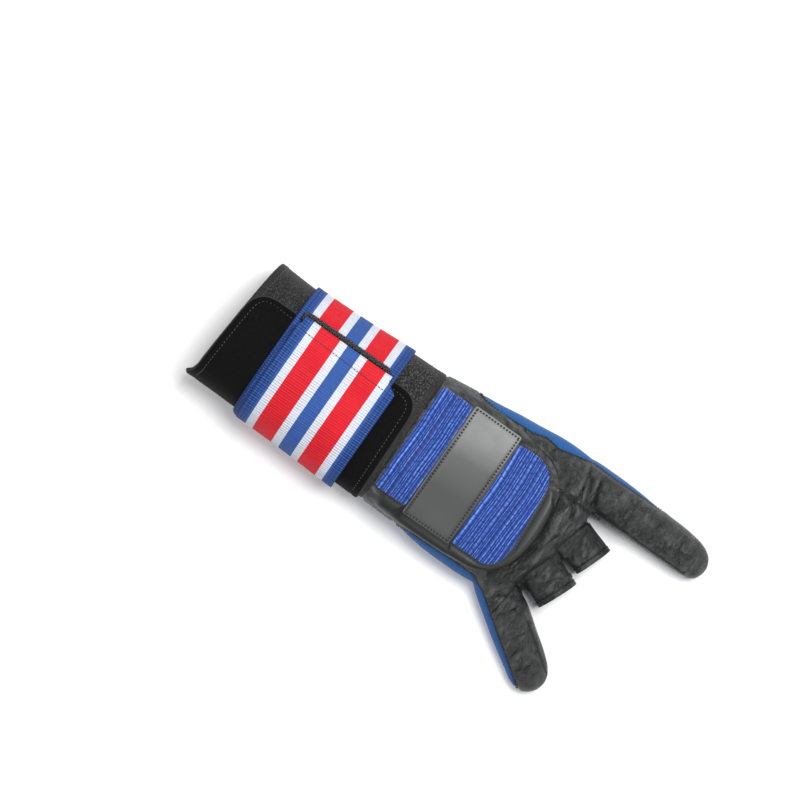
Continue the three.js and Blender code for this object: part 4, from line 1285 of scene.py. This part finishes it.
class GLOVE_OT_panels(bpy.types.Operator):
    """Cut the body's skin into its leather and knit panels and give each its thickness"""

    bl_idname = "glove.panels"
    bl_label = "Panels"

    def execute(self, context):
        points, tris = glove_body()
        creased = leather_finish()
        thick = sizes().leather / MM
        rest = (points, tris)
        pieces = []
        for name, field in (("middle_finger_sleeve", middle_field), ("ring_finger_sleeve", ring_field)):
            inside, outside = split(*rest, field(rest[0]))
            pieces.append((name, inside))
            rest = outside[:2]
        back, palm = split(*rest, back_field(rest[0]))
        index, back = split(*back[:2], index_field(back[0]))
        little, back = split(*back[:2], little_field(back[0]))
        pieces += [("index_finger_back", index), ("little_finger_back", little), ("hand_back", back)]
        for name, (p, t, _) in pieces:
            out = normals(p, t)
            inset = np.where(p[:, 0] > CUFF_EDGE + 3, 0.35, 0.0)[:, None]
            both, faces = shell(p + out * inset, p - out * thick, t)
            hem = np.abs(sleeve_end_field(p) - SLEEVE_HEM)
            seam = np.exp(-((np.minimum(seam_distance(p), hem) / 0.8) ** 2))
            # The fold and tilt layers carry the painted crease highlights and shade and the painted shade on
            # the sides
            layers = {"seam": seam, "fold": crease_height(p), "tilt": 1 - out[:, 2]}
            layers = {key: np.tile(values, 2) for key, values in layers.items()}
            piece = new_piece(name + "_skin", both, faces, creased, layers)
            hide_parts(name)
        p, t, _ = palm
        out = normals(p, t)
        low = np.clip(p[:, 2] / 2.0, 0, 1)[:, None]
        both, faces = shell(p, p - out * thick * np.maximum(low, 0.6), t)
        piece = new_piece("palm_panel_skin", both, faces, knit_finish())
        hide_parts("palm_panel")
        return {"FINISHED"}


class GLOVE_OT_back(bpy.types.Operator):
    """Make the padded frame, the two elastic bands and the patch on the back of the hand"""

    bl_idname = "glove.back"
    bl_label = "Back of the hand"

    def execute(self, context):
        self.make_frame()
        self.make_band("wrist_elastic", WRIST_BAND_PLAN, 0.0)
        self.make_band("knuckle_elastic", KNUCKLE_BAND_PLAN, 0.4)

        def lift(points, edge):
            groove = 0.35 * np.exp(-(((edge - 1.7) / 0.5) ** 2))
            return 0.5 + 0.85 * rounded(edge, 0.7) - groove + 0.2 * rounded(edge - 2.0, 6.0)

        # The edge layer carries the painted highlight along the patch's rim
        label = patch_piece(
            "back_label_patch", rounded_plan(LABEL_PLAN, 1.2), (0.7, 0.7), lift, label_finish(),
            {"edge": lambda points, edge: edge},
        )
        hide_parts("back_label")
        return {"FINISHED"}

    def make_frame(self):
        """The padded frame: a soft roll outside, a stitched lip at its windows, flatter where it is slack."""
        outline = rounded_plan(FRAME_PLAN, 4.0)
        plans = ((WRIST_BAND_PLAN, 3.0), (LABEL_PLAN, 1.2), (KNUCKLE_BAND_PLAN, 2.0))
        windows = [rounded_plan(plan, radius) for plan, radius in plans]

        def field(points):
            holes = [-plan_distance(points, plan) - 0.1 for plan in windows]
            return np.minimum.reduce([plan_distance(points, outline), *holes])

        points, tris = keep(*back_patch(FRAME_PLAN, 0.6, 0.6), field)
        edge = field(points)
        base, out = hand_top(points[:, 0], points[:, 1], 0.1)
        pad = sizes().pad / MM
        rim = plan_distance(points, outline)
        lip = np.minimum.reduce([-plan_distance(points, plan) for plan in windows])
        slack = np.clip((points[:, 1] - 26 + np.clip(points[:, 0] - 60, 0, 30) * 0.6) / 5, 0, 1)
        slack = np.maximum(slack, np.clip((2 - points[:, 0]) / 6, 0, 1))
        roll = np.sin(np.clip(rim / (4.2 + 5 * slack), 0, 1) * np.pi / 2) ** (0.9 + 0.3 * slack)
        height = 0.35 + (pad - 0.35 - 1.6 * slack) * roll * eased(np.clip(lip / 6.0, 0, 1)) ** 0.7
        height -= 0.22 * np.exp(-(((lip - 1.5) / 0.5) ** 2)) * (1 - slack)
        unevenness = wave(points, 11.0 - 5.5 * slack.mean(), 4.0)
        height += (0.12 + 0.3 * slack) * unevenness * np.clip(edge / 4, 0, 1)
        outer = base + out * height[:, None]
        # How far the frame's surface leans from the hand's back, for the painted shade on its slopes
        lean = 1 - (normals(outer, tris) * out).sum(1)
        both, faces = shell(outer, base, tris)
        layers = {"slack": np.tile(slack, 2), "lean": np.tile(lean, 2)}
        leather = smooth_leather_finish()
        piece = new_piece("padded_frame_leather", both, faces, leather, layers)
        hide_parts("padded_frame")

    def make_band(self, name, plan, phase):
        """A ribbed elastic band, gathered in short cells along each rib."""
        pitch = sizes().rib_pitch / MM

        def turns(points):
            bow = 0.9 * (points[:, 1] / 36) ** 2
            slip = 0.5 * wave(points * [0.25, 1, 1], 15.0, 3.0 + phase)
            x = points[:, 0] + bow + slip + 0.2 * wave(points * [1, 0.5, 1], 3.0, phase)
            waver = x + 0.45 * np.sin(2 * np.pi * x / 5.3) + 0.3 * np.sin(2 * np.pi * x / 8.1 + 1)
            return waver / pitch + phase

        def cell(points):
            line = np.floor(turns(points) + 0.5)
            shift = 1.7 * np.sin(line * 2.3) + 0.9 * wave(points, 7.0, 5.0)
            return line, (points[:, 1] + shift) / 3.7

        def rib(points, edge):
            return (0.5 + 0.5 * np.cos(2 * np.pi * turns(points))) ** 0.8

        def row(points, edge):
            line, place = cell(points)
            return 0.5 + 0.3 * np.sin(line * 2.4) + 0.14 * np.sin(line * 5.1 + np.floor(place) * 3.3)

        def gather(points, edge):
            return (0.5 + 0.5 * np.cos(2 * np.pi * (cell(points)[1] + 0.5))) ** 9

        def lift(points, edge):
            crown = 0.45 + 0.9 * rounded(edge + 0.4, 2.6)
            tucks = 0.55 * rib(points, edge) - 0.3 * gather(points, edge) + 0.1 * wave(points, 5.0, 2.0)
            return crown + tucks * rounded(edge + 0.2, 1.0)

        # The rib and gather layers also carry the painted highlight on the crests and the painted shade in the
        # valleys and gathers
        piece = patch_piece(
            name + "_webbing", rounded_plan(plan, 2.0), (0.2, 0.36), lift, elastic_finish(),
            {"rib": rib, "row": row, "gather": gather},
        )
        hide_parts(name)


def flap_plan():
    """The flap's outline: rounded over the cuff's back, pinched at its far corner, straight past its side."""
    near = CUFF_EDGE + 0.6
    corners = ((-128.4, -38), (near, -90), (near - 2.6, FLAP_EDGE), (-123.9, FLAP_EDGE - 0.5))
    arcs = rounded_plan(corners, 14.0, 9)[18:]
    tail = [(-128.3, -36.5), (-129.6, -40.0), (-132.6, -42.6), (-132.2, -44.0), (-131.0, -90), (near, -90)]
    return np.vstack([arcs, tail])


class GLOVE_OT_cuff(bpy.types.Operator):
    """Make the stiff cuff and the flap that closes over its back"""

    bl_idname = "glove.cuff"
    bl_label = "Cuff and flap"

    def execute(self, context):
        surface = CuffSurface()
        self.make_cuff(surface)
        self.make_flap(surface)
        return {"FINISHED"}

    def far_edge(self, y):
        """Where the cuff ends, along X, at places across it."""
        return -125.3 + 0.0755 * y

    def rim_profile(self):
        """Places along the cuff and lifts, once round its wall: out, over the rim, back, over."""
        bend = np.linspace(-np.pi / 2, np.pi / 2, 9)
        wall = CUFF_WALL
        outside = [(t, 0.0) for t in np.linspace(0.012, 0.988, 112)]
        near = [(0.988 + 0.012 * math.cos(a), wall / 2 * (-1 - math.sin(a))) for a in bend]
        inside = [(t, -wall) for t in np.linspace(0.98, 0.02, 26)]
        far = [(0.012 - 0.012 * math.cos(a), wall / 2 * (-1 + math.sin(a))) for a in bend]
        return outside + near + inside + far

    def make_cuff(self, surface):
        """The cuff's shell and its rows of stitches."""
        shares = np.linspace(0, 1, 300, endpoint=False)
        far = self.far_edge(surface.at(np.full(len(shares), CUFF_MIDDLE), shares)[:, 0])
        reach = CUFF_EDGE + 1.9 - far
        rings = [surface.point(far + reach * t, shares, lift) for t, lift in self.rim_profile()]
        points, tris = loop_tube(np.stack(rings))
        place, lift = np.repeat(self.rim_profile(), len(shares), axis=0).T
        from_edge = np.minimum(place, 1 - place) * np.abs(CUFF_EDGE - self.far_edge(0))
        stipple = np.clip((from_edge - 4.2) / 0.5, 0, 1) * (lift > -1)
        points = points + normals(points, tris) * (0.3 * stipple)[:, None]
        faces, layers = outward(points, tris), {"stipple": stipple}
        piece = new_piece("wrist_cuff_shell", points, faces, cuff_finish(), layers)
        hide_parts("wrist_cuff")
        lines = []
        for inset, end in ((4.3, "far"), (3.6, "near"), (8.6, "near")):
            share = np.linspace(0.02, 0.3, 160)
            y = surface.at(np.full(len(share), CUFF_MIDDLE), share)[:, 0]
            x = self.far_edge(y) + inset if end == "far" else np.full(len(y), CUFF_EDGE - inset)
            where = surface.point(x, share, -0.05)
            lines.append((where, surface.point(x, share, 0.95) - where, False))
        sew("cuff_stitches", lines, thread_finish("cuff_thread", (0.05, 0.05, 0.052)))

    def make_flap(self, surface):
        """The flap, its thickness laid on the cuff, and its row of stitches."""
        x = np.arange(-133.6, CUFF_EDGE + 1.5, 0.9)
        shares = np.arange(-0.36, surface.share_at(CUFF_MIDDLE, 22.0), 0.9 / 222)
        grid_x, grid_s = np.meshgrid(x, shares, indexing="ij")
        low = surface.point(grid_x, grid_s, GAP)
        points, tris = low.reshape(-1, 3), sheet_of(low)
        plan = flap_plan()
        field = np.minimum(plan_distance(points, plan), points[:, 2] - FLAP_LOW_EDGE)
        up = surface.point(grid_x, grid_s, GAP + 1.0).reshape(-1, 3) - points
        (p, t, out), _ = split(points, tris, field, up)
        edge = np.minimum(plan_distance(p, plan), p[:, 2] - FLAP_LOW_EDGE)
        top = FLAP_THICKNESS - 0.25
        groove = 0.3 * np.exp(-(((edge - FLAP_SEAM) / 0.7) ** 2))
        height = 0.4 + (top - 0.4) * rounded(edge, 1.6) - groove + 0.08 * wave(p, 16.0, 6.0)
        both, faces = shell(p + out * height[:, None], p, t[:, ::-1])
        # The rim layer carries the flap's lighter binding and its painted highlight
        faces, layers = outward(both, faces), {"rim": np.tile(edge, 2)}
        piece = new_piece("closing_flap_velour", both, faces, velour_finish(), layers)
        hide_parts("closing_flap")
        line = inset_plan(plan, FLAP_SEAM)
        line = line[line[:, 1] > -42]
        share = np.array([surface.share_at(CUFF_MIDDLE, y) for y in line[:, 1]])
        where = surface.point(line[:, 0], share, GAP + top - 0.25)
        facing = surface.point(line[:, 0], share, GAP + top + 0.75) - where
        start = int(np.argmax(np.hypot(*np.diff(line, axis=0).T))) + 1
        where, facing = np.roll(where, -start, 0), np.roll(facing, -start, 0)
        sew("flap_stitches", [(where, facing, False)], thread_finish("flap_thread", (0.06, 0.06, 0.06)))


def over_flap(points):
    """How much of the flap's thickness the strap has to climb at points of the cuff's surface."""
    y, z = points[..., 1], points[..., 2]
    on_back = z > CUFF_HEIGHT * BELLY
    past = np.where(on_back, y - FLAP_EDGE, FLAP_LOW_EDGE - z)
    beyond = np.where(on_back | (y < 0), past - 5.0, 7.0)
    share = np.clip(1 - beyond / 7.0, 0, 1)
    return (GAP + FLAP_THICKNESS) * eased(share)


def weave(run, size=1.0):
    """Height of the webbing's cross ribs, between 0 and 1, along its length."""
    pitch = sizes().weft_pitch / MM
    major = 0.5 + 0.5 * np.cos(2 * np.pi * run / pitch)
    minor = 0.5 + 0.5 * np.cos(np.pi * run / pitch + 0.6 * np.sin(run / 17))
    return major**0.8 * (0.62 + 0.38 * minor * size)


# Places across the strap at which its section has a point
ACROSS = np.concatenate([[0, 0.004, 0.012], np.linspace(0.025, 0.975, 26), [0.988, 0.996, 1]])


def selvedge(across, width=68.0):
    """Height of the strap's rounded edges, from 0 to 1."""
    return rounded(np.minimum(across, 1 - across) * width + 0.05, 0.7)


class GLOVE_OT_straps(bpy.types.Operator):
    """Make the two layers of striped webbing and the wire ring that joins them"""

    bl_idname = "glove.straps"
    bl_label = "Strap and ring"

    def execute(self, context):
        surface = CuffSurface()
        webbing = webbing_finish()
        girth = float(np.interp(STRAP_MIDDLE, surface.xs, surface.girth))
        self.make_under(surface, webbing, girth)
        self.make_over(surface, webbing, girth)
        self.make_ring()
        return {"FINISHED"}

    def webbing_piece(self, name, sides, across, rib, material, closed=False):
        """Webbing between its two sides, each a grid of points, as a loop or with its ends shut."""
        outer, inner = sides
        section_ring = np.concatenate([outer, inner[:, ::-1]], 1)
        points, tris = (loop_tube if closed else tube)(section_ring)
        layers = {}
        for key, values in (("across", across), ("rib", rib)):
            one = np.broadcast_to(values, outer.shape[:2])
            ring = np.concatenate([one, one[:, ::-1]], 1).ravel()
            layers[key] = ring if closed else np.append(ring, [ring[0], ring[-1]])
        return new_piece(name, points, outward(points, tris), material, layers)

    def make_under(self, surface, webbing, girth):
        """The under layer, once round the cuff and over the flap."""
        steps = int(girth / (sizes().weft_pitch / MM / 6))
        shares = np.linspace(0, 1, steps, endpoint=False)
        x = STRAP_FAR + (STRAP_NEAR - STRAP_FAR) * ACROSS[None] + 0 * shares[:, None]
        grid_s = shares[:, None] + 0 * x
        run = shares * girth
        rib = weave(run)[:, None] + 0 * x
        rounding = selvedge(ACROSS)[None]
        ruffle = 0.1 * np.sin(run / 9.0)[:, None] * np.exp(-np.minimum(ACROSS, 1 - ACROSS) * 30)[None]
        low = GAP + over_flap(surface.point(x, grid_s, 0.0))
        high = low + (STRAP_THICKNESS - 0.1) * (0.25 + 0.75 * rounding) + 0.2 * (rib - 0.5) * rounding + ruffle
        sides = (surface.point(x, grid_s, high), surface.point(x, grid_s, low))
        under = self.webbing_piece("wrap_strap_under_webbing", sides, ACROSS, rib, webbing, closed=True)
        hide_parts("wrap_strap_under")

    def over_route(self, surface, girth):
        """The upper layer's run and lift: under the ring's near bar, round it and over the back."""
        under_top = GAP + FLAP_THICKNESS + GAP + STRAP_THICKNESS
        low_lift = under_top + GAP + 0.6
        centre = under_top + GAP + FOLD_RADIUS + 0.3
        bar = surface.share_at(STRAP_MIDDLE, 17.4, centre) * girth
        turn = np.radians(np.linspace(100, -90, TURN_STEPS))
        fall = np.linspace(0, 1, 16)[1:]
        flat = np.arange(bar - FOLD_FALL - 0.2, OVER_END * girth, -0.25)
        top = centre + FOLD_RADIUS
        route = np.vstack([
            [(bar - 5.0, low_lift - 0.5), (bar - 2.5, low_lift - 0.5)],
            np.stack([bar + FOLD_RADIUS * np.cos(turn), centre - FOLD_RADIUS * np.sin(turn)], 1),
            np.stack([bar - FOLD_FALL * fall, top + (low_lift + 0.15 - top) * eased(fall)], 1),
            np.stack([flat, np.full(len(flat), low_lift + 0.15)], 1),
        ])
        return bar, route

    def make_over(self, surface, webbing, girth):
        """The upper layer: round the ring's near bar, over the back and down the far side."""
        bar, route = self.over_route(surface, girth)
        length = run_of(route)
        at = np.arange(0, length[-1], 0.22)
        s, lift = (np.interp(at, length, route[:, k]) for k in (0, 1))
        ds, dl = np.gradient(s), np.gradient(lift)
        size = np.hypot(ds, dl)
        half = (STRAP_THICKNESS - GAP) / 2
        flare = eased(np.clip((bar - 0.5 - s) / 5, 0, 1))
        far = (OVER_FAR + NARROWER_FAR * (1 - flare))[:, None]
        near = (OVER_NEAR - NARROWER_NEAR * (1 - flare))[:, None]
        x = OVER_FAR + (OVER_NEAR - OVER_FAR) * ACROSS[None] + 0 * far
        x = np.where(x < far, far + 0.02 * (x - far), np.where(x > near, near + 0.02 * (x - near), x))
        worn = np.clip(at / 60, 0.3, 1)[:, None]
        rib = weave(at, 1.3)[:, None] + 0 * x
        rounding = selvedge(ACROSS)[None]
        thick = half * (0.3 + 0.7 * rounding) + 0.17 * worn * (rib - 0.5) * rounding
        sides = []
        for out in (thick, -thick):
            shares = (s[:, None] + out * (dl / size)[:, None]) / girth
            sides.append(surface.point(x, shares, lift[:, None] - out * (ds / size)[:, None]))
        over = self.webbing_piece("wrap_strap_over_webbing", sides, ACROSS, rib, webbing)
        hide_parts("wrap_strap_over")
        self.make_ply(surface, webbing, girth, bar)
        line_x = np.linspace(-91.5, -30.0, 90)
        share = (bar - 5.2 - 0.02 * (line_x + 64)) / girth
        past_fold = slice(None, TURN_STEPS + 1, -1)
        lifts = np.interp(share * girth, route[past_fold, 0], route[past_fold, 1]) + half + 0.05
        where = surface.point(line_x, share, lifts)
        facing = surface.point(line_x, share, lifts + 1) - where
        sew("strap_stitches", [(where, facing, False)], thread_finish("dark_thread", (0.012, 0.012, 0.013)))

    def make_ply(self, surface, webbing, girth, bar):
        """The blue edges of the turn of webbing between the two layers."""
        run = np.arange((OVER_END + 0.005) * girth, bar - 4.0, 0.23)
        across = np.linspace(0, 1, 10)
        for name, start, rise in (("lower", 1.1, 0.05), ("upper", 2.4, 0.55)):
            far = STRAP_FAR + start + 0.35 * np.sin(run / 13 + start)
            x = far[:, None] + (OVER_FAR + 1.2 - far)[:, None] * across[None]
            rib = weave(run + start, 1.3)[:, None] + 0 * x
            rounding = selvedge(across, 8.0)[None]
            shares = (run / girth)[:, None] + 0 * x
            low = GAP + over_flap(surface.point(x, shares, 0)) + STRAP_THICKNESS + rise
            under = np.clip((OVER_FAR + 0.1 - x) / 0.5, 0.15, 1)
            high = low + (0.6 * (0.3 + 0.7 * rounding) + 0.17 * (rib - 0.5) * rounding) * under
            sides = (surface.point(x, shares, high), surface.point(x, shares, low))
            # The plies take the strap's blue edge, with its painted shade along the edge
            self.webbing_piece("strap_ply_" + name, sides, 0.05 * across, rib, webbing)

    def make_ring(self):
        """The wire ring in its braided sleeve, laid where its solid lies."""
        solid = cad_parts["strap_ring"].data
        co = np.array([v.co for v in solid.vertices]) / MM
        centre = co.mean(0)
        axes = np.linalg.svd(co - centre, full_matrices=False)[2]
        half = np.abs((co - centre) @ axes.T).max(0)
        wire, corner = 1.95, 1.9
        length, reach = half[0] - 1.2 - corner, half[1] - 1.2 - corner
        route = []
        for cx, cy, start in ((1, -1, -90), (1, 1, 0), (-1, 1, 90), (-1, -1, 180)):
            turn = np.radians(start + np.linspace(0, 90, 9))
            route.append(np.stack([cx * length + corner * np.cos(turn), cy * reach + corner * np.sin(turn)], 1))
        path, at = even_loop(np.vstack(route), 520)
        ahead = np.roll(path, -1, 0) - np.roll(path, 1, 0)
        ahead /= np.hypot(*ahead.T)[:, None]
        turn = np.linspace(0, 2 * np.pi, 20, endpoint=False)[None]
        braid = (3 * turn, at[:, None] * 2.4)
        knurl = wire * (1 + 0.07 * np.cos(braid[0] + braid[1]) + 0.05 * np.cos(braid[0] - braid[1]))
        side = np.stack([ahead[:, 1], -ahead[:, 0]], 1)
        flat = path[:, None] + side[:, None] * (knurl * np.cos(turn))[..., None]
        points, tris = loop_tube(np.concatenate([flat, (knurl * np.sin(turn))[..., None]], -1))
        points = points @ axes + centre
        piece = new_piece("strap_ring_wire", points, outward(points, tris), wire_finish())
        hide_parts("strap_ring")


class GLOVE_OT_stitches(bpy.types.Operator):
    """Sew the seams of the panels, the frame and the patch"""

    bl_idname = "glove.stitches"
    bl_label = "Stitches"

    def execute(self, context):
        black = thread_finish("black_thread", (0.006, 0.006, 0.0065))
        self.sew_back(black)
        self.sew_panels(black)
        return {"FINISHED"}

    def on_back(self, plan, lift, closed=True):
        """A line over the back of the hand."""
        where, facing = hand_top(plan[:, 0], plan[:, 1], np.full(len(plan), lift))
        return where, facing, closed

    def on_frame(self, points):
        """Points laid on the padded frame's own surface."""
        frame_mesh = bpy.data.objects["padded_frame_leather"].data
        skin = np.empty(3 * len(frame_mesh.vertices))
        frame_mesh.vertices.foreach_get("co", skin)
        skin = skin.reshape(-1, 3) / MM
        result = points.copy()
        for row in result:
            away = np.hypot(skin[:, 0] - row[0], skin[:, 1] - row[1])
            near = skin[away < max(0.8, away.min() + 0.1)]
            row[2] = near[:, 2].max() + 0.1
        return result

    def sew_back(self, black):
        """The stitches of the patch and of the frame's windows."""
        label = inset_plan(rounded_plan(LABEL_PLAN, 1.2), 1.6)
        sew("label_stitches", [self.on_back(label, 1.5)], black)
        lines = []
        for plan in (WRIST_BAND_PLAN, KNUCKLE_BAND_PLAN):
            ring = inset_plan(rounded_plan(plan, 2.5), -1.1)
            seen = (plan_distance(ring, LABEL_PLAN) < -0.8) & (plan_distance(ring, FRAME_PLAN) > 0.6)
            where, facing, _ = self.on_back(ring, 0.8)
            twice = (self.on_frame(where), facing, seen)
            lines.append(clip_line(*(np.concatenate([one, one]) for one in twice)))
        seam = np.stack([np.linspace(75.6, 84.5, 30), np.linspace(23.6, 21.6, 30)], 1)
        where, facing, _ = self.on_back(seam, 0.0, False)
        lines.append((self.on_frame(where), facing, False))
        sew("frame_stitches", lines, black)

    def sew_panels(self, black):
        """Slanting stitches at the borders of the back, straight ones at the other seams."""
        whips, runs = [], []
        for line, up, closed in smooth_contours(back_field, 0.1):
            top = (line[:, 2] > 9) & (line[:, 0] > 12) & (sleeve_end_field(line) > 2) & (up[:, 2] > 0.12)
            clear = (middle_field(line) < -1) & (ring_field(line) < -1)
            whips.append(clip_line(line + up * 0.75, up, top & clear))
        for place, side in SIDE_SEAMS:
            for line, up, closed in smooth_contours(lambda p: limb_local(p, place)[1], side):
                seen = (up[:, 2] > 0.45) & on_side_seam(limb_local(line, place)[0], place)
                whips.append(clip_line(line + up * 0.9, up, seen))
        rows = ((middle_field, 1.5, 0.35), (ring_field, 1.5, 0.35), (index_field, 0.2, 0.75))
        for field, level, rise in rows:
            for line, up, closed in smooth_contours(field, level):
                top = (line[:, 2] > BACK_DROP + 2) & (up[:, 2] > 0.1) & (back_field(line) > 1)
                runs.append(clip_line(line + up * rise, up, top))
        runs += [(line + up * 0.55, up, closed) for line, up, closed in smooth_contours(sleeve_end_field, 2.6)]
        sew("whip_stitches", whips, black)
        sew("panel_stitches", runs, black)


class GLOVE_OT_stage(bpy.types.Operator):
    """Set the pale floor, the soft lights and the camera over the back of the hand"""

    bl_idname = "glove.stage"
    bl_label = "Stage"

    def execute(self, context):
        bpy.ops.mesh.primitive_plane_add(size=8)
        floor = context.object
        floor.name = "floor"
        made = Finish("floor_paper", 0.9, Specular_IOR_Level=0.1)
        made.colour(made.mix(made.noise(3, 2), (0.95, 0.95, 0.96), (0.99, 0.99, 0.99)))
        floor.data.materials.append(made.material)
        self.add_light("key", (0.25, 0.6, 1.9), 1.0, 42)
        self.add_light("fill", (-0.3, -0.8, 1.7), 1.4, 10)
        self.add_light("rim", (-1.6, 0.2, 1.1), 1.2, 4)
        world = bpy.data.worlds.new("studio")
        world.use_nodes = True
        colour, strength = world.node_tree.nodes["Background"].inputs[:2]
        colour.default_value, strength.default_value = (1, 1, 1, 1), 0.2
        context.scene.world = world
        context.scene.view_settings.view_transform = "Standard"
        self.add_camera(context)
        return {"FINISHED"}

    def add_light(self, name, place, size, power):
        """A round lamp that faces the middle of the scene."""
        light = bpy.data.lights.new(name, "AREA")
        light.shape, light.size, light.energy = "DISK", size, power
        lamp = placed(name, light)
        lamp.location = place
        lamp.rotation_euler = (-Vector(place)).to_track_quat("-Z", "Y").to_euler()

    def add_camera(self, context):
        """Straight over the glove, turned as the photograph is, 0.457 m across its frame."""
        data = bpy.data.cameras.new("camera")
        distance, span, sensor = 2.2, 0.4568, 36
        data.sensor_width = sensor
        data.lens = sensor * distance / span
        camera = placed("camera", data)
        camera.location = (-0.0225, 0.0122, 0.03 + distance)
        camera.rotation_euler = (0, 0, math.radians(35))
        context.scene.camera = camera


class GLOVE_PT_panel(bpy.types.Panel):
    """The glove's steps, in the sidebar"""

    bl_idname = "GLOVE_PT_panel"
    bl_label = "Bowling glove"
    bl_space_type = "VIEW_3D"
    bl_region_type = "UI"
    bl_category = "Glove"

    def draw(self, context):
        for group in (context.scene.glove_sizes, context.scene.glove_colours):
            for key in group.__annotations__:
                self.layout.prop(group, key)
        for step in STEPS:
            self.layout.operator(step.bl_idname)


STEPS = (
    GLOVE_OT_stage,
    GLOVE_OT_panels,
    GLOVE_OT_back,
    GLOVE_OT_cuff,
    GLOVE_OT_straps,
    GLOVE_OT_stitches,
)
CLASSES = (GloveSizes, GloveColours, *STEPS, GLOVE_PT_panel)


def register():
    for one in CLASSES:
        bpy.utils.register_class(one)
    bpy.types.Scene.glove_sizes = PointerProperty(type=GloveSizes)
    bpy.types.Scene.glove_colours = PointerProperty(type=GloveColours)


def unregister():
    del bpy.types.Scene.glove_colours
    del bpy.types.Scene.glove_sizes
    for one in reversed(CLASSES):
        bpy.utils.unregister_class(one)


def main():
    register()
    bpy.ops.glove.stage()
    bpy.ops.glove.panels()
    bpy.ops.glove.back()
    bpy.ops.glove.cuff()
    bpy.ops.glove.straps()
    bpy.ops.glove.stitches()


if __name__ == "__main__":
    main()
